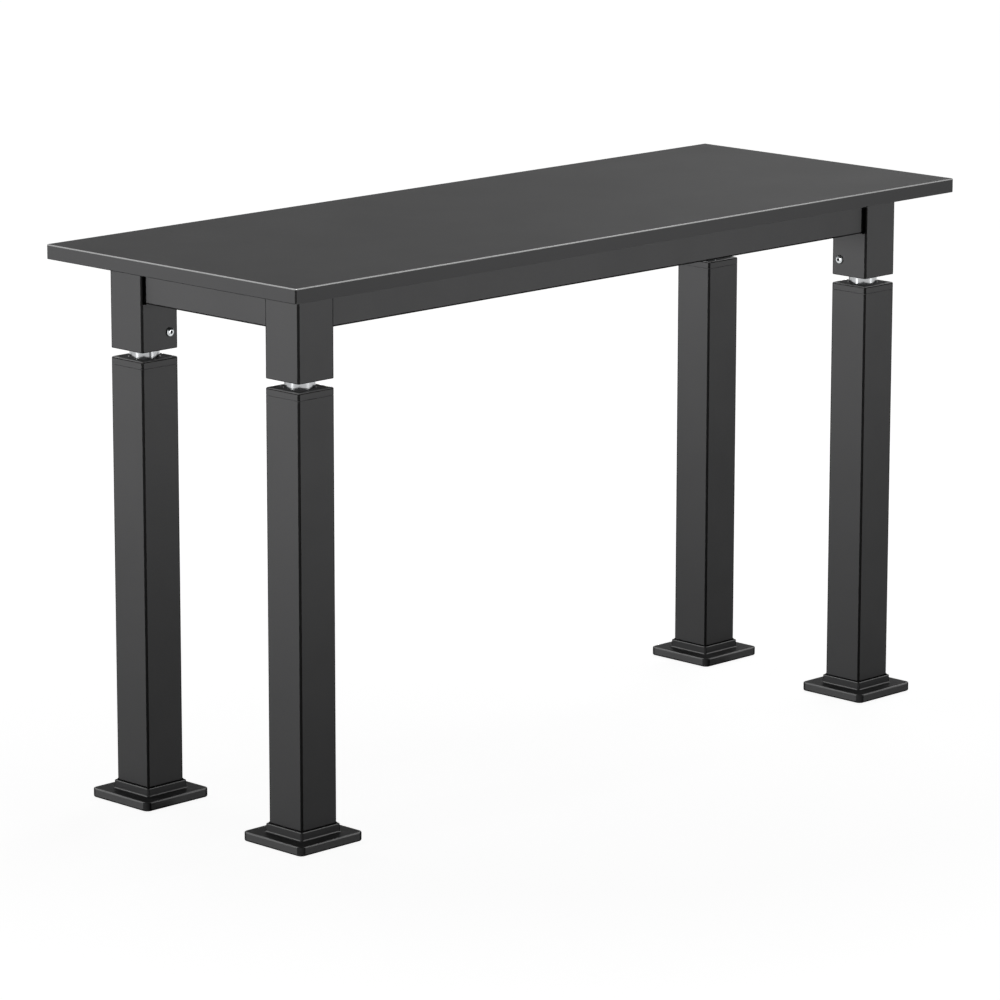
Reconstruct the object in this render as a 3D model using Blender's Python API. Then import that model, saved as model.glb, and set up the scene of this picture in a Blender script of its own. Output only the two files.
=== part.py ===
"""Height-adjustable laboratory table: worktop, welded frame, four hydraulic legs and a pump.

Metres, +Z up, floor at z = 0, origin under the middle of the worktop.
+X runs along the long side, -Y is the long front side. The legs are shown fully lowered.
"""
import math

import bmesh
import bpy
from mathutils import Vector

# Driving dimensions
TOP_LENGTH = 1.219
TOP_WIDTH = 0.4554
TOP_THICKNESS = 0.01905
TABLE_HEIGHT = 0.716
OVERHANG = 0.0554
LEG_SIZE = 0.0596
LEG_RADIUS = 0.0024
LEG_WALL = 0.0025
POST_LENGTH = 0.1126
COLUMN_GAP = 0.0107
COLUMN_DIAMETER = 0.0385
COLUMN_WALL = 0.0028
ROD_DIAMETER = 0.016
TRAVEL = 0.305
CAP_HEIGHT = 0.0096
SLEEVE_LENGTH = 0.120
APRON_HEIGHT = 0.0508
APRON_DEPTH = 0.0254
APRON_RECESS = 0.0072
APRON_WALL = 0.002
FOOT_SIZE = 0.107
FOOT_THICKNESS = 0.012
FOOT_COLLAR_HEIGHT = 0.0106

# Clearances and fits
FIT = 0.0003
SLIDE = 0.0003
STOP_GAP = 0.0008
HOLE_CLEARANCE = 0.0004
NOTCH_CLEARANCE = 0.0005
SOCKET_HEADROOM = 0.005

# Small details
TOP_EDGE_RADIUS = 0.002
TOP_CORNER_RADIUS = 0.002
TOP_LOWER_RADIUS = 0.0012
APRON_RADIUS = 0.0022
APRON_ENTRY = 0.010
CAP_BEVEL = 0.0021
CAP_LIP = 0.001
BUSH_RADIUS = 0.0015
FOOT_CORNER_RADIUS = 0.0074
FOOT_EDGE_RADIUS = 0.0015
FOOT_LOWER_RADIUS = 0.0022
FOOT_FLOOR = 0.006
COLLAR_WIDTH = 0.0039
COLLAR_DRAFT = 0.0009
COLLAR_FILLET = 0.0012
COLLAR_CORNER = 0.0026
LIP_WIDTH = 0.0009
LIP_HEIGHT = 0.0012
RING_HEIGHT = 0.030
RING_FLOOR = 0.006
SOCKET_ROOF = 0.012
PISTON_HEIGHT = 0.020
ROD_FLANGE_HEIGHT = 0.006
SCREW_RISE = 0.0218
SCREW_INSET = 0.0138
SCREW_SHANK = 0.006
SCREW_HEAD = 0.0112
SCREW_DOME = 0.0033
SCREW_COLLAR = 0.0124
SCREW_COLLAR_HEIGHT = 0.0006
SCREW_LENGTH = 0.0075
LINE_DIAMETER = 0.006
LINE_OFFSET = 0.010
LINE_DROP = 0.024
LINE_BEND = 0.012
BRACKET_WIDTH = 0.040
BRACKET_REACH = 0.024
BRACKET_SHEET = 0.0025
BRACKET_SPREAD = 0.245
TOP_SCREW_SHANK = 0.0045
TOP_SCREW_HEAD = 0.009
TOP_SCREW_BITE = 0.011
PUMP_LENGTH = 0.110
PUMP_WIDTH = 0.140
PUMP_HEIGHT = 0.040
PUMP_STANDOFF = 0.004
SHAFT_DIAMETER = 0.012
SHAFT_DEPTH = 0.030
SHAFT_PROUD = 0.012
HEX_ACROSS = 0.010
HEX_LENGTH = 0.016
ARC_STEPS = 5

# Derived sizes
UNDER_TOP = TABLE_HEIGHT - TOP_THICKNESS
LEG_HALF = LEG_SIZE / 2
INNER_HALF = LEG_HALF - LEG_WALL
INNER_RADIUS = max(LEG_RADIUS - LEG_WALL, 0.0005)
BUSH_HALF = INNER_HALF - FIT
LEG_X = TOP_LENGTH / 2 - OVERHANG - LEG_HALF
LEG_Y = TOP_WIDTH / 2 - OVERHANG - LEG_HALF
POST_BOTTOM = UNDER_TOP - POST_LENGTH
CAP_TOP = POST_BOTTOM - COLUMN_GAP
SEAM = CAP_TOP - CAP_HEIGHT
SLEEVE_BOTTOM = SEAM - SLEEVE_LENGTH
RING_TOP = SLEEVE_BOTTOM - TRAVEL - STOP_GAP
RING_BOTTOM = RING_TOP - RING_HEIGHT
APRON_BOTTOM = UNDER_TOP - APRON_HEIGHT
APRON_OUT_X = LEG_X + LEG_HALF - APRON_RECESS
APRON_OUT_Y = LEG_Y + LEG_HALF - APRON_RECESS
COLUMN_R = COLUMN_DIAMETER / 2
COLUMN_BORE = COLUMN_R - COLUMN_WALL
ROD_R = ROD_DIAMETER / 2
SOCKET_TOP = APRON_BOTTOM - SOCKET_HEADROOM
SOCKET_BOTTOM = POST_BOTTOM + 0.001
SEAT_TOP = SOCKET_TOP - SOCKET_ROOF
PISTON_TOP = SEAT_TOP - STOP_GAP
SCREW_Z = POST_BOTTOM + SCREW_RISE
SCREW_OFFSET = LEG_HALF - SCREW_INSET
LINE_Z = UNDER_TOP - LINE_DROP
PUMP_RIGHT = APRON_OUT_X - APRON_DEPTH - PUMP_STANDOFF
PUMP_LEFT = PUMP_RIGHT - PUMP_LENGTH
SHAFT_Z = UNDER_TOP - APRON_HEIGHT / 2

LEGS = {
    "front_left": (-1, -1),
    "front_right": (1, -1),
    "back_left": (-1, 1),
    "back_right": (1, 1),
}


def new_collection(name):
    """Make a collection under the scene."""
    made = bpy.data.collections.new(name)
    bpy.context.scene.collection.children.link(made)
    return made


def material(name, colour, metallic, roughness):
    """Make a plain Principled material."""
    made = bpy.data.materials.new(name)
    made.use_nodes = True
    shader = made.node_tree.nodes["Principled BSDF"]
    shader.inputs["Base Color"].default_value = (*colour, 1.0)
    shader.inputs["Metallic"].default_value = metallic
    shader.inputs["Roughness"].default_value = roughness
    return made


def square_ring(half_a, half_b, radius):
    """Points of a rounded rectangle, ARC_STEPS + 1 on each corner."""
    points = []
    for turn, (sign_a, sign_b) in enumerate(((1, 1), (-1, 1), (-1, -1), (1, -1))):
        for step in range(ARC_STEPS + 1):
            angle = math.pi / 2 * (turn + step / ARC_STEPS)
            points.append((
                sign_a * (half_a - radius) + radius * math.cos(angle),
                sign_b * (half_b - radius) + radius * math.sin(angle),
            ))
    return points


def round_ring(radius):
    """Points of a circle, as many as a square ring has."""
    count = 4 * (ARC_STEPS + 1)
    return [
        (radius * math.cos(2 * math.pi * (i + 0.5) / count), radius * math.sin(2 * math.pi * (i + 0.5) / count))
        for i in range(count)
    ]


def hex_ring(across):
    """Points of a hexagon outline, as many as a square ring has."""
    points = []
    count = 4 * (ARC_STEPS + 1)
    for i in range(count):
        angle = 2 * math.pi * (i + 0.5) / count
        fold = (angle + math.pi / 6) % (math.pi / 3) - math.pi / 6
        reach = across / 2 / math.cos(fold)
        points.append((reach * math.cos(angle), reach * math.sin(angle)))
    return points


def place(axis, a, b, c):
    """Turn ring coordinates and a height along the axis into x, y, z."""
    if axis == "X":
        return Vector((c, a, b))
    if axis == "Y":
        return Vector((b, c, a))
    return Vector((a, b, c))


def mesh_from(bm, name):
    """Close a bmesh into a mesh with outward normals."""
    bmesh.ops.recalc_face_normals(bm, faces=bm.faces)
    mesh = bpy.data.meshes.new(name)
    bm.to_mesh(mesh)
    bm.free()
    return mesh


def add_loft(bm, rings, loop=False, axis="Z", shift=(0.0, 0.0, 0.0)):
    """Skin a row of rings, each a pair of points and height, into one closed shell."""
    rows = []
    for points, height in rings:
        rows.append([bm.verts.new(place(axis, a, b, height) + Vector(shift)) for a, b in points])
    pairs = list(zip(rows, rows[1:]))
    if loop:
        pairs.append((rows[-1], rows[0]))
    for low, high in pairs:
        for i in range(len(low)):
            j = (i + 1) % len(low)
            bm.faces.new((low[i], low[j], high[j], high[i]))
    if not loop:
        bm.faces.new(rows[0])
        bm.faces.new(rows[-1])


def add_box(bm, low, high):
    """Add a plain box between two corners."""
    corners = [bm.verts.new((x, y, z)) for x in (low[0], high[0]) for y in (low[1], high[1])
               for z in (low[2], high[2])]
    for face in ((0, 1, 3, 2), (4, 5, 7, 6), (0, 1, 5, 4), (2, 3, 7, 6), (0, 2, 6, 4), (1, 3, 7, 5)):
        bm.faces.new([corners[i] for i in face])


def add_part(name, mesh, look, at=(0.0, 0.0, 0.0)):
    """Link a mesh as a named part."""
    made = bpy.data.objects.new(name, mesh)
    made.location = at
    mesh.materials.append(look)
    PARTS.objects.link(made)
    return made


def loft_part(name, rings, look, at=(0.0, 0.0, 0.0), loop=False, axis="Z"):
    """Make a part from one loft."""
    bm = bmesh.new()
    add_loft(bm, rings, loop, axis)
    return add_part(name, mesh_from(bm, name), look, at)


def cut(target, bm, name):
    """Subtract a cutter mesh, given in world space, from a part."""
    cutter = bpy.data.objects.new(name, mesh_from(bm, name))
    cutter.hide_render = True
    cutter.display_type = "WIRE"
    CUTTERS.objects.link(cutter)
    made = target.modifiers.new(name, "BOOLEAN")
    made.operation = "DIFFERENCE"
    made.solver = "EXACT"
    made.object = cutter


def rod_between(bm, axis, radius, start, end, shift):
    """Add a cutter cylinder along an axis."""
    low, high = sorted((start, end))
    add_loft(bm, [(round_ring(radius), low), (round_ring(radius), high)], axis=axis, shift=shift)


def bent_path(corners, bend, steps=6):
    """Round the inner corners of a path of right-angle turns."""
    points = [Vector(corners[0])]
    for before, here, after in zip(corners, corners[1:], corners[2:]):
        here = Vector(here)
        back = (Vector(before) - here).normalized()
        ahead = (Vector(after) - here).normalized()
        centre = here + (back + ahead) * bend
        for step in range(steps + 1):
            angle = math.pi / 2 * step / steps
            points.append(centre - ahead * bend * math.cos(angle) - back * bend * math.sin(angle))
    points.append(Vector(corners[-1]))
    return points


def line_part(name, corners, look):
    """Make a bent pipe as a curve with filled ends."""
    curve = bpy.data.curves.new(name, "CURVE")
    curve.dimensions = "3D"
    curve.bevel_depth = LINE_DIAMETER / 2
    curve.bevel_resolution = 2
    curve.use_fill_caps = True
    path = bent_path(corners, LINE_BEND)
    spline = curve.splines.new("POLY")
    spline.points.add(len(path) - 1)
    for point, position in zip(spline.points, path):
        point.co = (*position, 1.0)
    made = bpy.data.objects.new(name, curve)
    curve.materials.append(look)
    PARTS.objects.link(made)


def make_worktop():
    """Slab with eased edges and pilot holes for the bracket screws."""
    length, width = TOP_LENGTH / 2, TOP_WIDTH / 2
    rings = []
    for step in range(4):
        angle = math.pi / 2 * step / 3
        ease = TOP_LOWER_RADIUS * (1 - math.sin(angle))
        radius = max(TOP_CORNER_RADIUS - ease, 0.0003)
        height = UNDER_TOP + TOP_LOWER_RADIUS * (1 - math.cos(angle))
        rings.append((square_ring(length - ease, width - ease, radius), height))
    for step in range(5):
        angle = math.pi / 2 * step / 4
        ease = TOP_EDGE_RADIUS * (1 - math.cos(angle))
        radius = max(TOP_CORNER_RADIUS - ease, 0.0003)
        height = TABLE_HEIGHT - TOP_EDGE_RADIUS * (1 - math.sin(angle))
        rings.append((square_ring(length - ease, width - ease, radius), height))
    top = loft_part("worktop", rings, RESIN)
    holes = bmesh.new()
    for x, y in screw_spots():
        rod_between(holes, "Z", TOP_SCREW_SHANK / 2 + HOLE_CLEARANCE, UNDER_TOP - 0.002,
                    UNDER_TOP + TOP_SCREW_BITE + 0.001, (x, y, 0.0))
    cut(top, holes, "worktop_pilot_holes")


def bracket_side():
    """Inner face of the long aprons, as a distance from the middle."""
    return APRON_OUT_Y - APRON_DEPTH - FIT


def screw_spots():
    """Places of the four worktop screws."""
    y = bracket_side() - BRACKET_REACH / 2
    return [(sx * BRACKET_SPREAD, sy * y) for sx in (-1, 1) for sy in (-1, 1)]


def make_aprons():
    """Four rectangular tubes between the posts; the right one is drilled for the pump shaft."""
    half_b, half_a = APRON_HEIGHT / 2, APRON_DEPTH / 2
    middle = UNDER_TOP - FIT - half_b
    for name, axis, sign in (("apron_front", "X", -1), ("apron_back", "X", 1),
                             ("apron_left", "Y", -1), ("apron_right", "Y", 1)):
        reach = (LEG_X if axis == "X" else LEG_Y) - LEG_HALF + APRON_ENTRY
        if axis == "X":
            outer = square_ring(half_a, half_b, APRON_RADIUS)
            inner = square_ring(half_a - APRON_WALL, half_b - APRON_WALL, 0.0006)
            at = (0.0, sign * (APRON_OUT_Y - half_a), middle)
        else:
            outer = square_ring(half_b, half_a, APRON_RADIUS)
            inner = square_ring(half_b - APRON_WALL, half_a - APRON_WALL, 0.0006)
            at = (sign * (APRON_OUT_X - half_a), 0.0, middle)
        rings = [(outer, -reach), (outer, reach), (inner, reach), (inner, -reach)]
        tube = loft_part(name, rings, POWDER, at, loop=True, axis=axis)
        if name == "apron_right":
            bore = bmesh.new()
            rod_between(bore, "X", SHAFT_DIAMETER / 2 + 0.003, APRON_OUT_X - APRON_DEPTH - 0.003,
                        APRON_OUT_X + 0.003, (0.0, 0.0, SHAFT_Z))
            cut(tube, bore, "apron_shaft_hole")


def make_post(leg, sx, sy, x, y):
    """Upper square tube, notched for the apron ends and drilled for two screws and a line."""
    outer = square_ring(LEG_HALF, LEG_HALF, LEG_RADIUS)
    inner = square_ring(INNER_HALF, INNER_HALF, INNER_RADIUS)
    high = UNDER_TOP - FIT
    rings = [(outer, POST_BOTTOM), (outer, high), (inner, high), (inner, POST_BOTTOM)]
    post = loft_part("post_" + leg, rings, POWDER, (x, y, 0.0), loop=True)
    tool = bmesh.new()
    near, far = INNER_HALF - 0.001, LEG_HALF + 0.001
    wide = LEG_HALF - APRON_RECESS - APRON_DEPTH - NOTCH_CLEARANCE
    floor, roof = APRON_BOTTOM - FIT, UNDER_TOP + 0.002
    xs = sorted((x - sx * near, x - sx * far))
    ys = sorted((y + sy * INNER_HALF, y + sy * wide))
    add_box(tool, (xs[0], ys[0], floor), (xs[1], ys[1], roof))
    xs = sorted((x + sx * INNER_HALF, x + sx * wide))
    ys = sorted((y - sy * near, y - sy * far))
    add_box(tool, (xs[0], ys[0], floor), (xs[1], ys[1], roof))
    hole = SCREW_SHANK / 2 + HOLE_CLEARANCE
    rod_between(tool, "X", hole, x - sx * near, x - sx * far, (0.0, y - sy * SCREW_OFFSET, SCREW_Z))
    rod_between(tool, "Y", hole, y - sy * near, y - sy * far, (x - sx * SCREW_OFFSET, 0.0, SCREW_Z))
    hole = LINE_DIAMETER / 2 + 0.001
    rod_between(tool, "X", hole, x - sx * near, x - sx * far, (0.0, y - sy * LINE_OFFSET, LINE_Z))
    cut(post, tool, "post_cuts_" + leg)


def make_socket(leg, sx, sy, x, y):
    """Block in the post that seats the column, with screw holes and the oil port."""
    seat = round_ring(COLUMN_R + FIT)
    outer = square_ring(BUSH_HALF, BUSH_HALF, BUSH_RADIUS)
    rings = [(seat, SEAT_TOP), (seat, SOCKET_BOTTOM), (outer, SOCKET_BOTTOM), (outer, SOCKET_TOP)]
    socket = loft_part("column_socket_" + leg, rings, STEEL, (x, y, 0.0))
    tool = bmesh.new()
    hole = SCREW_SHANK / 2 + HOLE_CLEARANCE
    end = LEG_HALF - SCREW_LENGTH - 0.0005
    rod_between(tool, "X", hole, x - sx * end, x - sx * LEG_HALF, (0.0, y - sy * SCREW_OFFSET, SCREW_Z))
    rod_between(tool, "Y", hole, y - sy * end, y - sy * LEG_HALF, (x - sx * SCREW_OFFSET, 0.0, SCREW_Z))
    rod_between(tool, "Z", LINE_DIAMETER / 2 + HOLE_CLEARANCE, SEAT_TOP - 0.002, SOCKET_TOP + 0.002,
                (x - sx * LINE_OFFSET, y - sy * LINE_OFFSET, 0.0))
    cut(socket, tool, "socket_cuts_" + leg)


def screw_rings(shank, length, head, dome, key, collar=0.0):
    """Button-head screw along +axis, head side up, seated at 0 on its head or on a washer collar."""
    seat = SCREW_COLLAR_HEIGHT if collar else 0.0
    rim, lip = seat + 0.0005, key * 0.62
    rings = [(round_ring(shank / 2), -length), (round_ring(shank / 2), 0.0)]
    if collar:
        rings += [(round_ring(collar / 2), 0.0), (round_ring(collar / 2), seat)]
    rings.append((round_ring(head / 2), seat))
    for step in range(4):
        angle = math.pi / 2 * step / 3
        radius = lip + (head / 2 - lip) * math.cos(angle)
        rings.append((round_ring(radius), rim + (dome - rim) * math.sin(angle)))
    rings.append((hex_ring(key), dome))
    rings.append((hex_ring(key), dome * 0.4))
    return rings


def flip(rings):
    """Point a row of rings the other way along its axis."""
    return [([(a, -b) for a, b in points], -height) for points, height in rings]


def make_post_screws(leg, sx, sy, x, y):
    """Two button-head screws through the inner faces of the post."""
    rings = screw_rings(SCREW_SHANK, SCREW_LENGTH, SCREW_HEAD, SCREW_DOME, 0.0035, SCREW_COLLAR)
    face = LEG_HALF + FIT
    rings_x = rings if sx < 0 else flip(rings)
    rings_y = rings if sy < 0 else flip(rings)
    loft_part("post_screw_side_" + leg, rings_x, CHROME,
              (x - sx * face, y - sy * SCREW_OFFSET, SCREW_Z), axis="X")
    loft_part("post_screw_end_" + leg, rings_y, CHROME,
              (x - sx * SCREW_OFFSET, y - sy * face, SCREW_Z), axis="Y")


def make_column(leg, x, y):
    """Chromed cylinder tube with a guide ring on its lower end."""
    low, high = RING_BOTTOM + RING_FLOOR + FIT, SEAT_TOP - FIT
    outer, bore = round_ring(COLUMN_R), round_ring(COLUMN_BORE)
    loft_part("column_" + leg, [(outer, low), (outer, high), (bore, high), (bore, low)], CHROME,
              (x, y, 0.0), loop=True)
    guide = square_ring(BUSH_HALF, BUSH_HALF, BUSH_RADIUS)
    seat, hole = round_ring(COLUMN_R + FIT), round_ring(ROD_R + SLIDE)
    floor = RING_BOTTOM + RING_FLOOR
    rings = [(guide, RING_BOTTOM), (guide, RING_TOP), (seat, RING_TOP), (seat, floor), (hole, floor),
             (hole, RING_BOTTOM)]
    loft_part("guide_ring_" + leg, rings, NYLON, (x, y, 0.0), loop=True)


def make_lower_leg(leg, x, y):
    """Tube, guide cap, foot and piston rod that slide down together."""
    outer = square_ring(LEG_HALF, LEG_HALF, LEG_RADIUS)
    inner = square_ring(INNER_HALF, INNER_HALF, INNER_RADIUS)
    low, high = FOOT_FLOOR + FIT, SEAM - FIT
    loft_part("leg_tube_" + leg, [(outer, low), (outer, high), (inner, high), (inner, low)], POWDER,
              (x, y, 0.0), loop=True)
    plug = square_ring(BUSH_HALF, BUSH_HALF, BUSH_RADIUS)
    brim = square_ring(LEG_HALF - CAP_BEVEL, LEG_HALF - CAP_BEVEL, max(LEG_RADIUS - CAP_BEVEL, 0.0003))
    bore, lip = round_ring(COLUMN_R + SLIDE), round_ring(COLUMN_R + SLIDE + CAP_LIP)
    rings = [(plug, SLEEVE_BOTTOM), (plug, SEAM), (outer, SEAM), (outer, CAP_TOP - CAP_BEVEL),
             (brim, CAP_TOP), (lip, CAP_TOP), (bore, CAP_TOP - CAP_LIP), (bore, SLEEVE_BOTTOM)]
    loft_part("guide_cap_" + leg, rings, NYLON, (x, y, 0.0), loop=True)
    make_foot(leg, x, y)
    flange, rod, piston = (round_ring(INNER_HALF - 0.0023), round_ring(ROD_R),
                           round_ring(COLUMN_BORE - SLIDE))
    base = FOOT_FLOOR + FIT
    rings = [(flange, base), (flange, base + ROD_FLANGE_HEIGHT), (rod, base + ROD_FLANGE_HEIGHT),
             (rod, PISTON_TOP - PISTON_HEIGHT), (piston, PISTON_TOP - PISTON_HEIGHT), (piston, PISTON_TOP)]
    loft_part("piston_rod_" + leg, rings, STEEL, (x, y, 0.0))


def make_foot(leg, x, y):
    """Moulded boot: square flange, a collar round the tube and a thin lip that hugs it."""
    half, edge, lower, corner = FOOT_SIZE / 2, FOOT_EDGE_RADIUS, FOOT_LOWER_RADIUS, FOOT_CORNER_RADIUS
    rings = []
    for step in range(4):
        angle = math.pi / 2 * step / 3
        ease = lower * (1 - math.sin(angle))
        rings.append((square_ring(half - ease, half - ease, corner - ease), lower * (1 - math.cos(angle))))
    for step in range(4):
        angle = math.pi / 2 * step / 3
        ease = edge * (1 - math.cos(angle))
        rings.append((square_ring(half - ease, half - ease, corner - ease),
                      FOOT_THICKNESS - edge * (1 - math.sin(angle))))
    wall = LEG_HALF + COLLAR_WIDTH
    round_off = COLLAR_CORNER
    high = FOOT_THICKNESS + FOOT_COLLAR_HEIGHT
    for step in range(3):
        angle = math.pi / 2 * step / 2
        out = COLLAR_FILLET * (1 - math.sin(angle))
        rings.append((square_ring(wall + out, wall + out, round_off + out),
                      FOOT_THICKNESS + COLLAR_FILLET * (1 - math.cos(angle))))
    slim = wall - COLLAR_DRAFT
    for step in range(3):
        angle = math.pi / 2 * step / 2
        ease = 0.001 * (1 - math.cos(angle))
        rings.append((square_ring(slim - ease, slim - ease, max(round_off - COLLAR_DRAFT - ease, 0.0003)),
                      high - 0.001 * (1 - math.sin(angle))))
    lip = FIT + LIP_WIDTH
    hug = square_ring(LEG_HALF + lip, LEG_HALF + lip, LEG_RADIUS + lip)
    pocket = square_ring(LEG_HALF + FIT, LEG_HALF + FIT, LEG_RADIUS + FIT)
    rings.append((hug, high))
    rings.append((hug, high + LIP_HEIGHT))
    rings.append((pocket, high + LIP_HEIGHT))
    rings.append((pocket, FOOT_FLOOR))
    loft_part("foot_" + leg, rings, RUBBER, (x, y, 0.0))


def make_brackets():
    """Angle brackets on the long aprons and the screws that hold the worktop down."""
    high = UNDER_TOP - FIT
    for sx, side in ((-1, "left"), (1, "right")):
        for sy, row in ((-1, "front"), (1, "back")):
            x, wall = sx * BRACKET_SPREAD, bracket_side()
            outline = [(wall, high), (wall, high - BRACKET_REACH),
                       (wall - BRACKET_SHEET, high - BRACKET_REACH),
                       (wall - BRACKET_SHEET, high - BRACKET_SHEET),
                       (wall - BRACKET_REACH, high - BRACKET_SHEET), (wall - BRACKET_REACH, high)]
            outline = [(sy * y, z) for y, z in outline]
            bm = bmesh.new()
            add_loft(bm, [(outline, x - BRACKET_WIDTH / 2), (outline, x + BRACKET_WIDTH / 2)], axis="X")
            bracket = add_part("top_bracket_%s_%s" % (row, side), mesh_from(bm, "bracket"), POWDER)
            spot_y = sy * (wall - BRACKET_REACH / 2)
            bm = bmesh.new()
            rod_between(bm, "Z", TOP_SCREW_SHANK / 2 + HOLE_CLEARANCE, high - 0.004, high + 0.002,
                        (x, spot_y, 0.0))
            cut(bracket, bm, "bracket_hole_%s_%s" % (row, side))
            under = high - BRACKET_SHEET - FIT
            length = UNDER_TOP + TOP_SCREW_BITE - under
            rings = flip(screw_rings(TOP_SCREW_SHANK, length, TOP_SCREW_HEAD, 0.0028, 0.003))
            loft_part("top_screw_%s_%s" % (row, side), rings, STEEL, (x, spot_y, under))


def make_pump():
    """Pump block under the right end, its drive shaft and four oil lines."""
    high = UNDER_TOP - FIT
    middle_x, middle_z = (PUMP_LEFT + PUMP_RIGHT) / 2, high - PUMP_HEIGHT / 2
    half_x, half_y = PUMP_LENGTH / 2, PUMP_WIDTH / 2
    rings = [(square_ring(half_x - 0.002, half_y - 0.002, 0.004), -PUMP_HEIGHT / 2),
             (square_ring(half_x, half_y, 0.006), 0.002 - PUMP_HEIGHT / 2),
             (square_ring(half_x, half_y, 0.006), PUMP_HEIGHT / 2)]
    body = loft_part("pump_body", rings, CAST, (middle_x, 0.0, middle_z))
    tool = bmesh.new()
    rod_between(tool, "X", SHAFT_DIAMETER / 2 + SLIDE, PUMP_RIGHT - SHAFT_DEPTH, PUMP_RIGHT + 0.002,
                (0.0, 0.0, SHAFT_Z))
    ports = {-1: PUMP_LEFT + PUMP_LENGTH * 0.25, 1: PUMP_LEFT + PUMP_LENGTH * 0.55}
    for sx, port_x in ports.items():
        for sy in (-1, 1):
            rod_between(tool, "Y", LINE_DIAMETER / 2 + HOLE_CLEARANCE, sy * (half_y - 0.008),
                        sy * (half_y + 0.002), (port_x, 0.0, LINE_Z))
    cut(body, tool, "pump_bores")
    start = PUMP_RIGHT - SHAFT_DEPTH + 0.001
    tip = APRON_OUT_X + SHAFT_PROUD
    shaft, key = round_ring(SHAFT_DIAMETER / 2), hex_ring(HEX_ACROSS)
    neck = tip - HEX_LENGTH
    loft_part("pump_drive_shaft", [(shaft, start), (shaft, neck), (key, neck), (key, tip)], STEEL,
              (0.0, 0.0, SHAFT_Z), axis="X")
    for leg, (sx, sy) in LEGS.items():
        x, y = sx * (LEG_X - LINE_OFFSET), sy * (LEG_Y - LINE_OFFSET)
        line_part("oil_line_" + leg, [(x, y, SOCKET_TOP - 0.006), (x, y, LINE_Z), (ports[sx], y, LINE_Z),
                                      (ports[sx], sy * (half_y - 0.006), LINE_Z)], STEEL)


for old in list(bpy.data.objects):
    bpy.data.objects.remove(old, do_unlink=True)

PARTS = new_collection("lab_table")
CUTTERS = new_collection("cutters")
POWDER = material("black_powder_coat", (0.018, 0.018, 0.019), 0.0, 0.45)
RESIN = material("black_resin", (0.022, 0.022, 0.023), 0.0, 0.55)
CHROME = material("chrome", (0.82, 0.83, 0.85), 1.0, 0.08)
STEEL = material("plain_steel", (0.45, 0.45, 0.46), 1.0, 0.35)
NYLON = material("black_nylon", (0.02, 0.02, 0.021), 0.0, 0.35)
RUBBER = material("black_rubber", (0.016, 0.016, 0.017), 0.0, 0.4)
CAST = material("cast_aluminium", (0.4, 0.4, 0.41), 1.0, 0.5)

make_worktop()
make_aprons()
make_brackets()
make_pump()
for leg_name, (sign_x, sign_y) in LEGS.items():
    leg_x, leg_y = sign_x * LEG_X, sign_y * LEG_Y
    make_post(leg_name, sign_x, sign_y, leg_x, leg_y)
    make_socket(leg_name, sign_x, sign_y, leg_x, leg_y)
    make_post_screws(leg_name, sign_x, sign_y, leg_x, leg_y)
    make_column(leg_name, leg_x, leg_y)
    make_lower_leg(leg_name, leg_x, leg_y)
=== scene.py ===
"""Looks of a height-adjustable laboratory table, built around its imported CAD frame.

Metres, +Z up, floor at z = 0. +X runs along the long side, -Y is the front long side.
"""
import logging
import math
from dataclasses import dataclass, field, replace
from enum import Enum
from typing import Callable, Dict, List, Sequence, Tuple

import bmesh
import bpy
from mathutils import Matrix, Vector


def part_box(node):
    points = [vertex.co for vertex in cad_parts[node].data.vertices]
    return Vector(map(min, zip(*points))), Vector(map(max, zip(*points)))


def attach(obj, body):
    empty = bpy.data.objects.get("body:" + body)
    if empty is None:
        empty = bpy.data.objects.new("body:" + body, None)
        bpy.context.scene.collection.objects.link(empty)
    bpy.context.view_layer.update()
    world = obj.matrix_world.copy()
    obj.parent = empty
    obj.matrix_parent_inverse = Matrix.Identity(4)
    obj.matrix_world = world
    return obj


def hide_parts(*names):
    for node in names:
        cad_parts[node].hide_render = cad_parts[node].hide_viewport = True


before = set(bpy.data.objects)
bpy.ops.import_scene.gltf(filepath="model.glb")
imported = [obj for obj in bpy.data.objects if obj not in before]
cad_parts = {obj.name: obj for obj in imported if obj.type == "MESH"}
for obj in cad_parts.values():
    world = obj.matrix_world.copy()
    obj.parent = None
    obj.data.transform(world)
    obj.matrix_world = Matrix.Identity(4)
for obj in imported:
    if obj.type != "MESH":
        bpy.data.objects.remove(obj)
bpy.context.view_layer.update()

LOG = logging.getLogger("lab_table")
Pair = Tuple[float, float]
Triple = Tuple[float, float, float]
Piece = bpy.types.Object
Face = bpy.types.MeshPolygon
Socket = bpy.types.NodeSocket
EdgeTest = Callable[[Vector, Vector], bool]
FaceTest = Callable[[Vector, Vector], bool]
PolygonTest = Callable[[Face], bool]

ORIGIN: Triple = (0.0, 0.0, 0.0)
QUARTER_TURN = math.pi / 2
HALF_TURN = math.pi
SQRT_3 = math.sqrt(3)
# Slack in metres when a vertex is looked for at a place
TOUCH = 1e-6
NEAR = 1e-5
# How far a cutter runs past the piece it cuts
OVERRUN = 0.01
# How much wider a screw's hole is than its shank, in radius
HOLE_CLEARANCE = 0.0004
# Share of a normal along an axis: from FACING on a face is a plain side, from FLAT on it is no rounding,
# from LEVEL on it counts as level, and up to LEAN it doesn't lean that way
FACING = 0.999
FLAT = 0.992
LEVEL = 0.9
LEAN = 0.1
FRAME_BODY = "frame"


class Axis(Enum):
    """Direction of a round piece, with the turn that points a new cylinder along it."""

    X = (0.0, QUARTER_TURN, 0.0)
    Y = (-QUARTER_TURN, 0.0, 0.0)
    Z = ORIGIN


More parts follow.
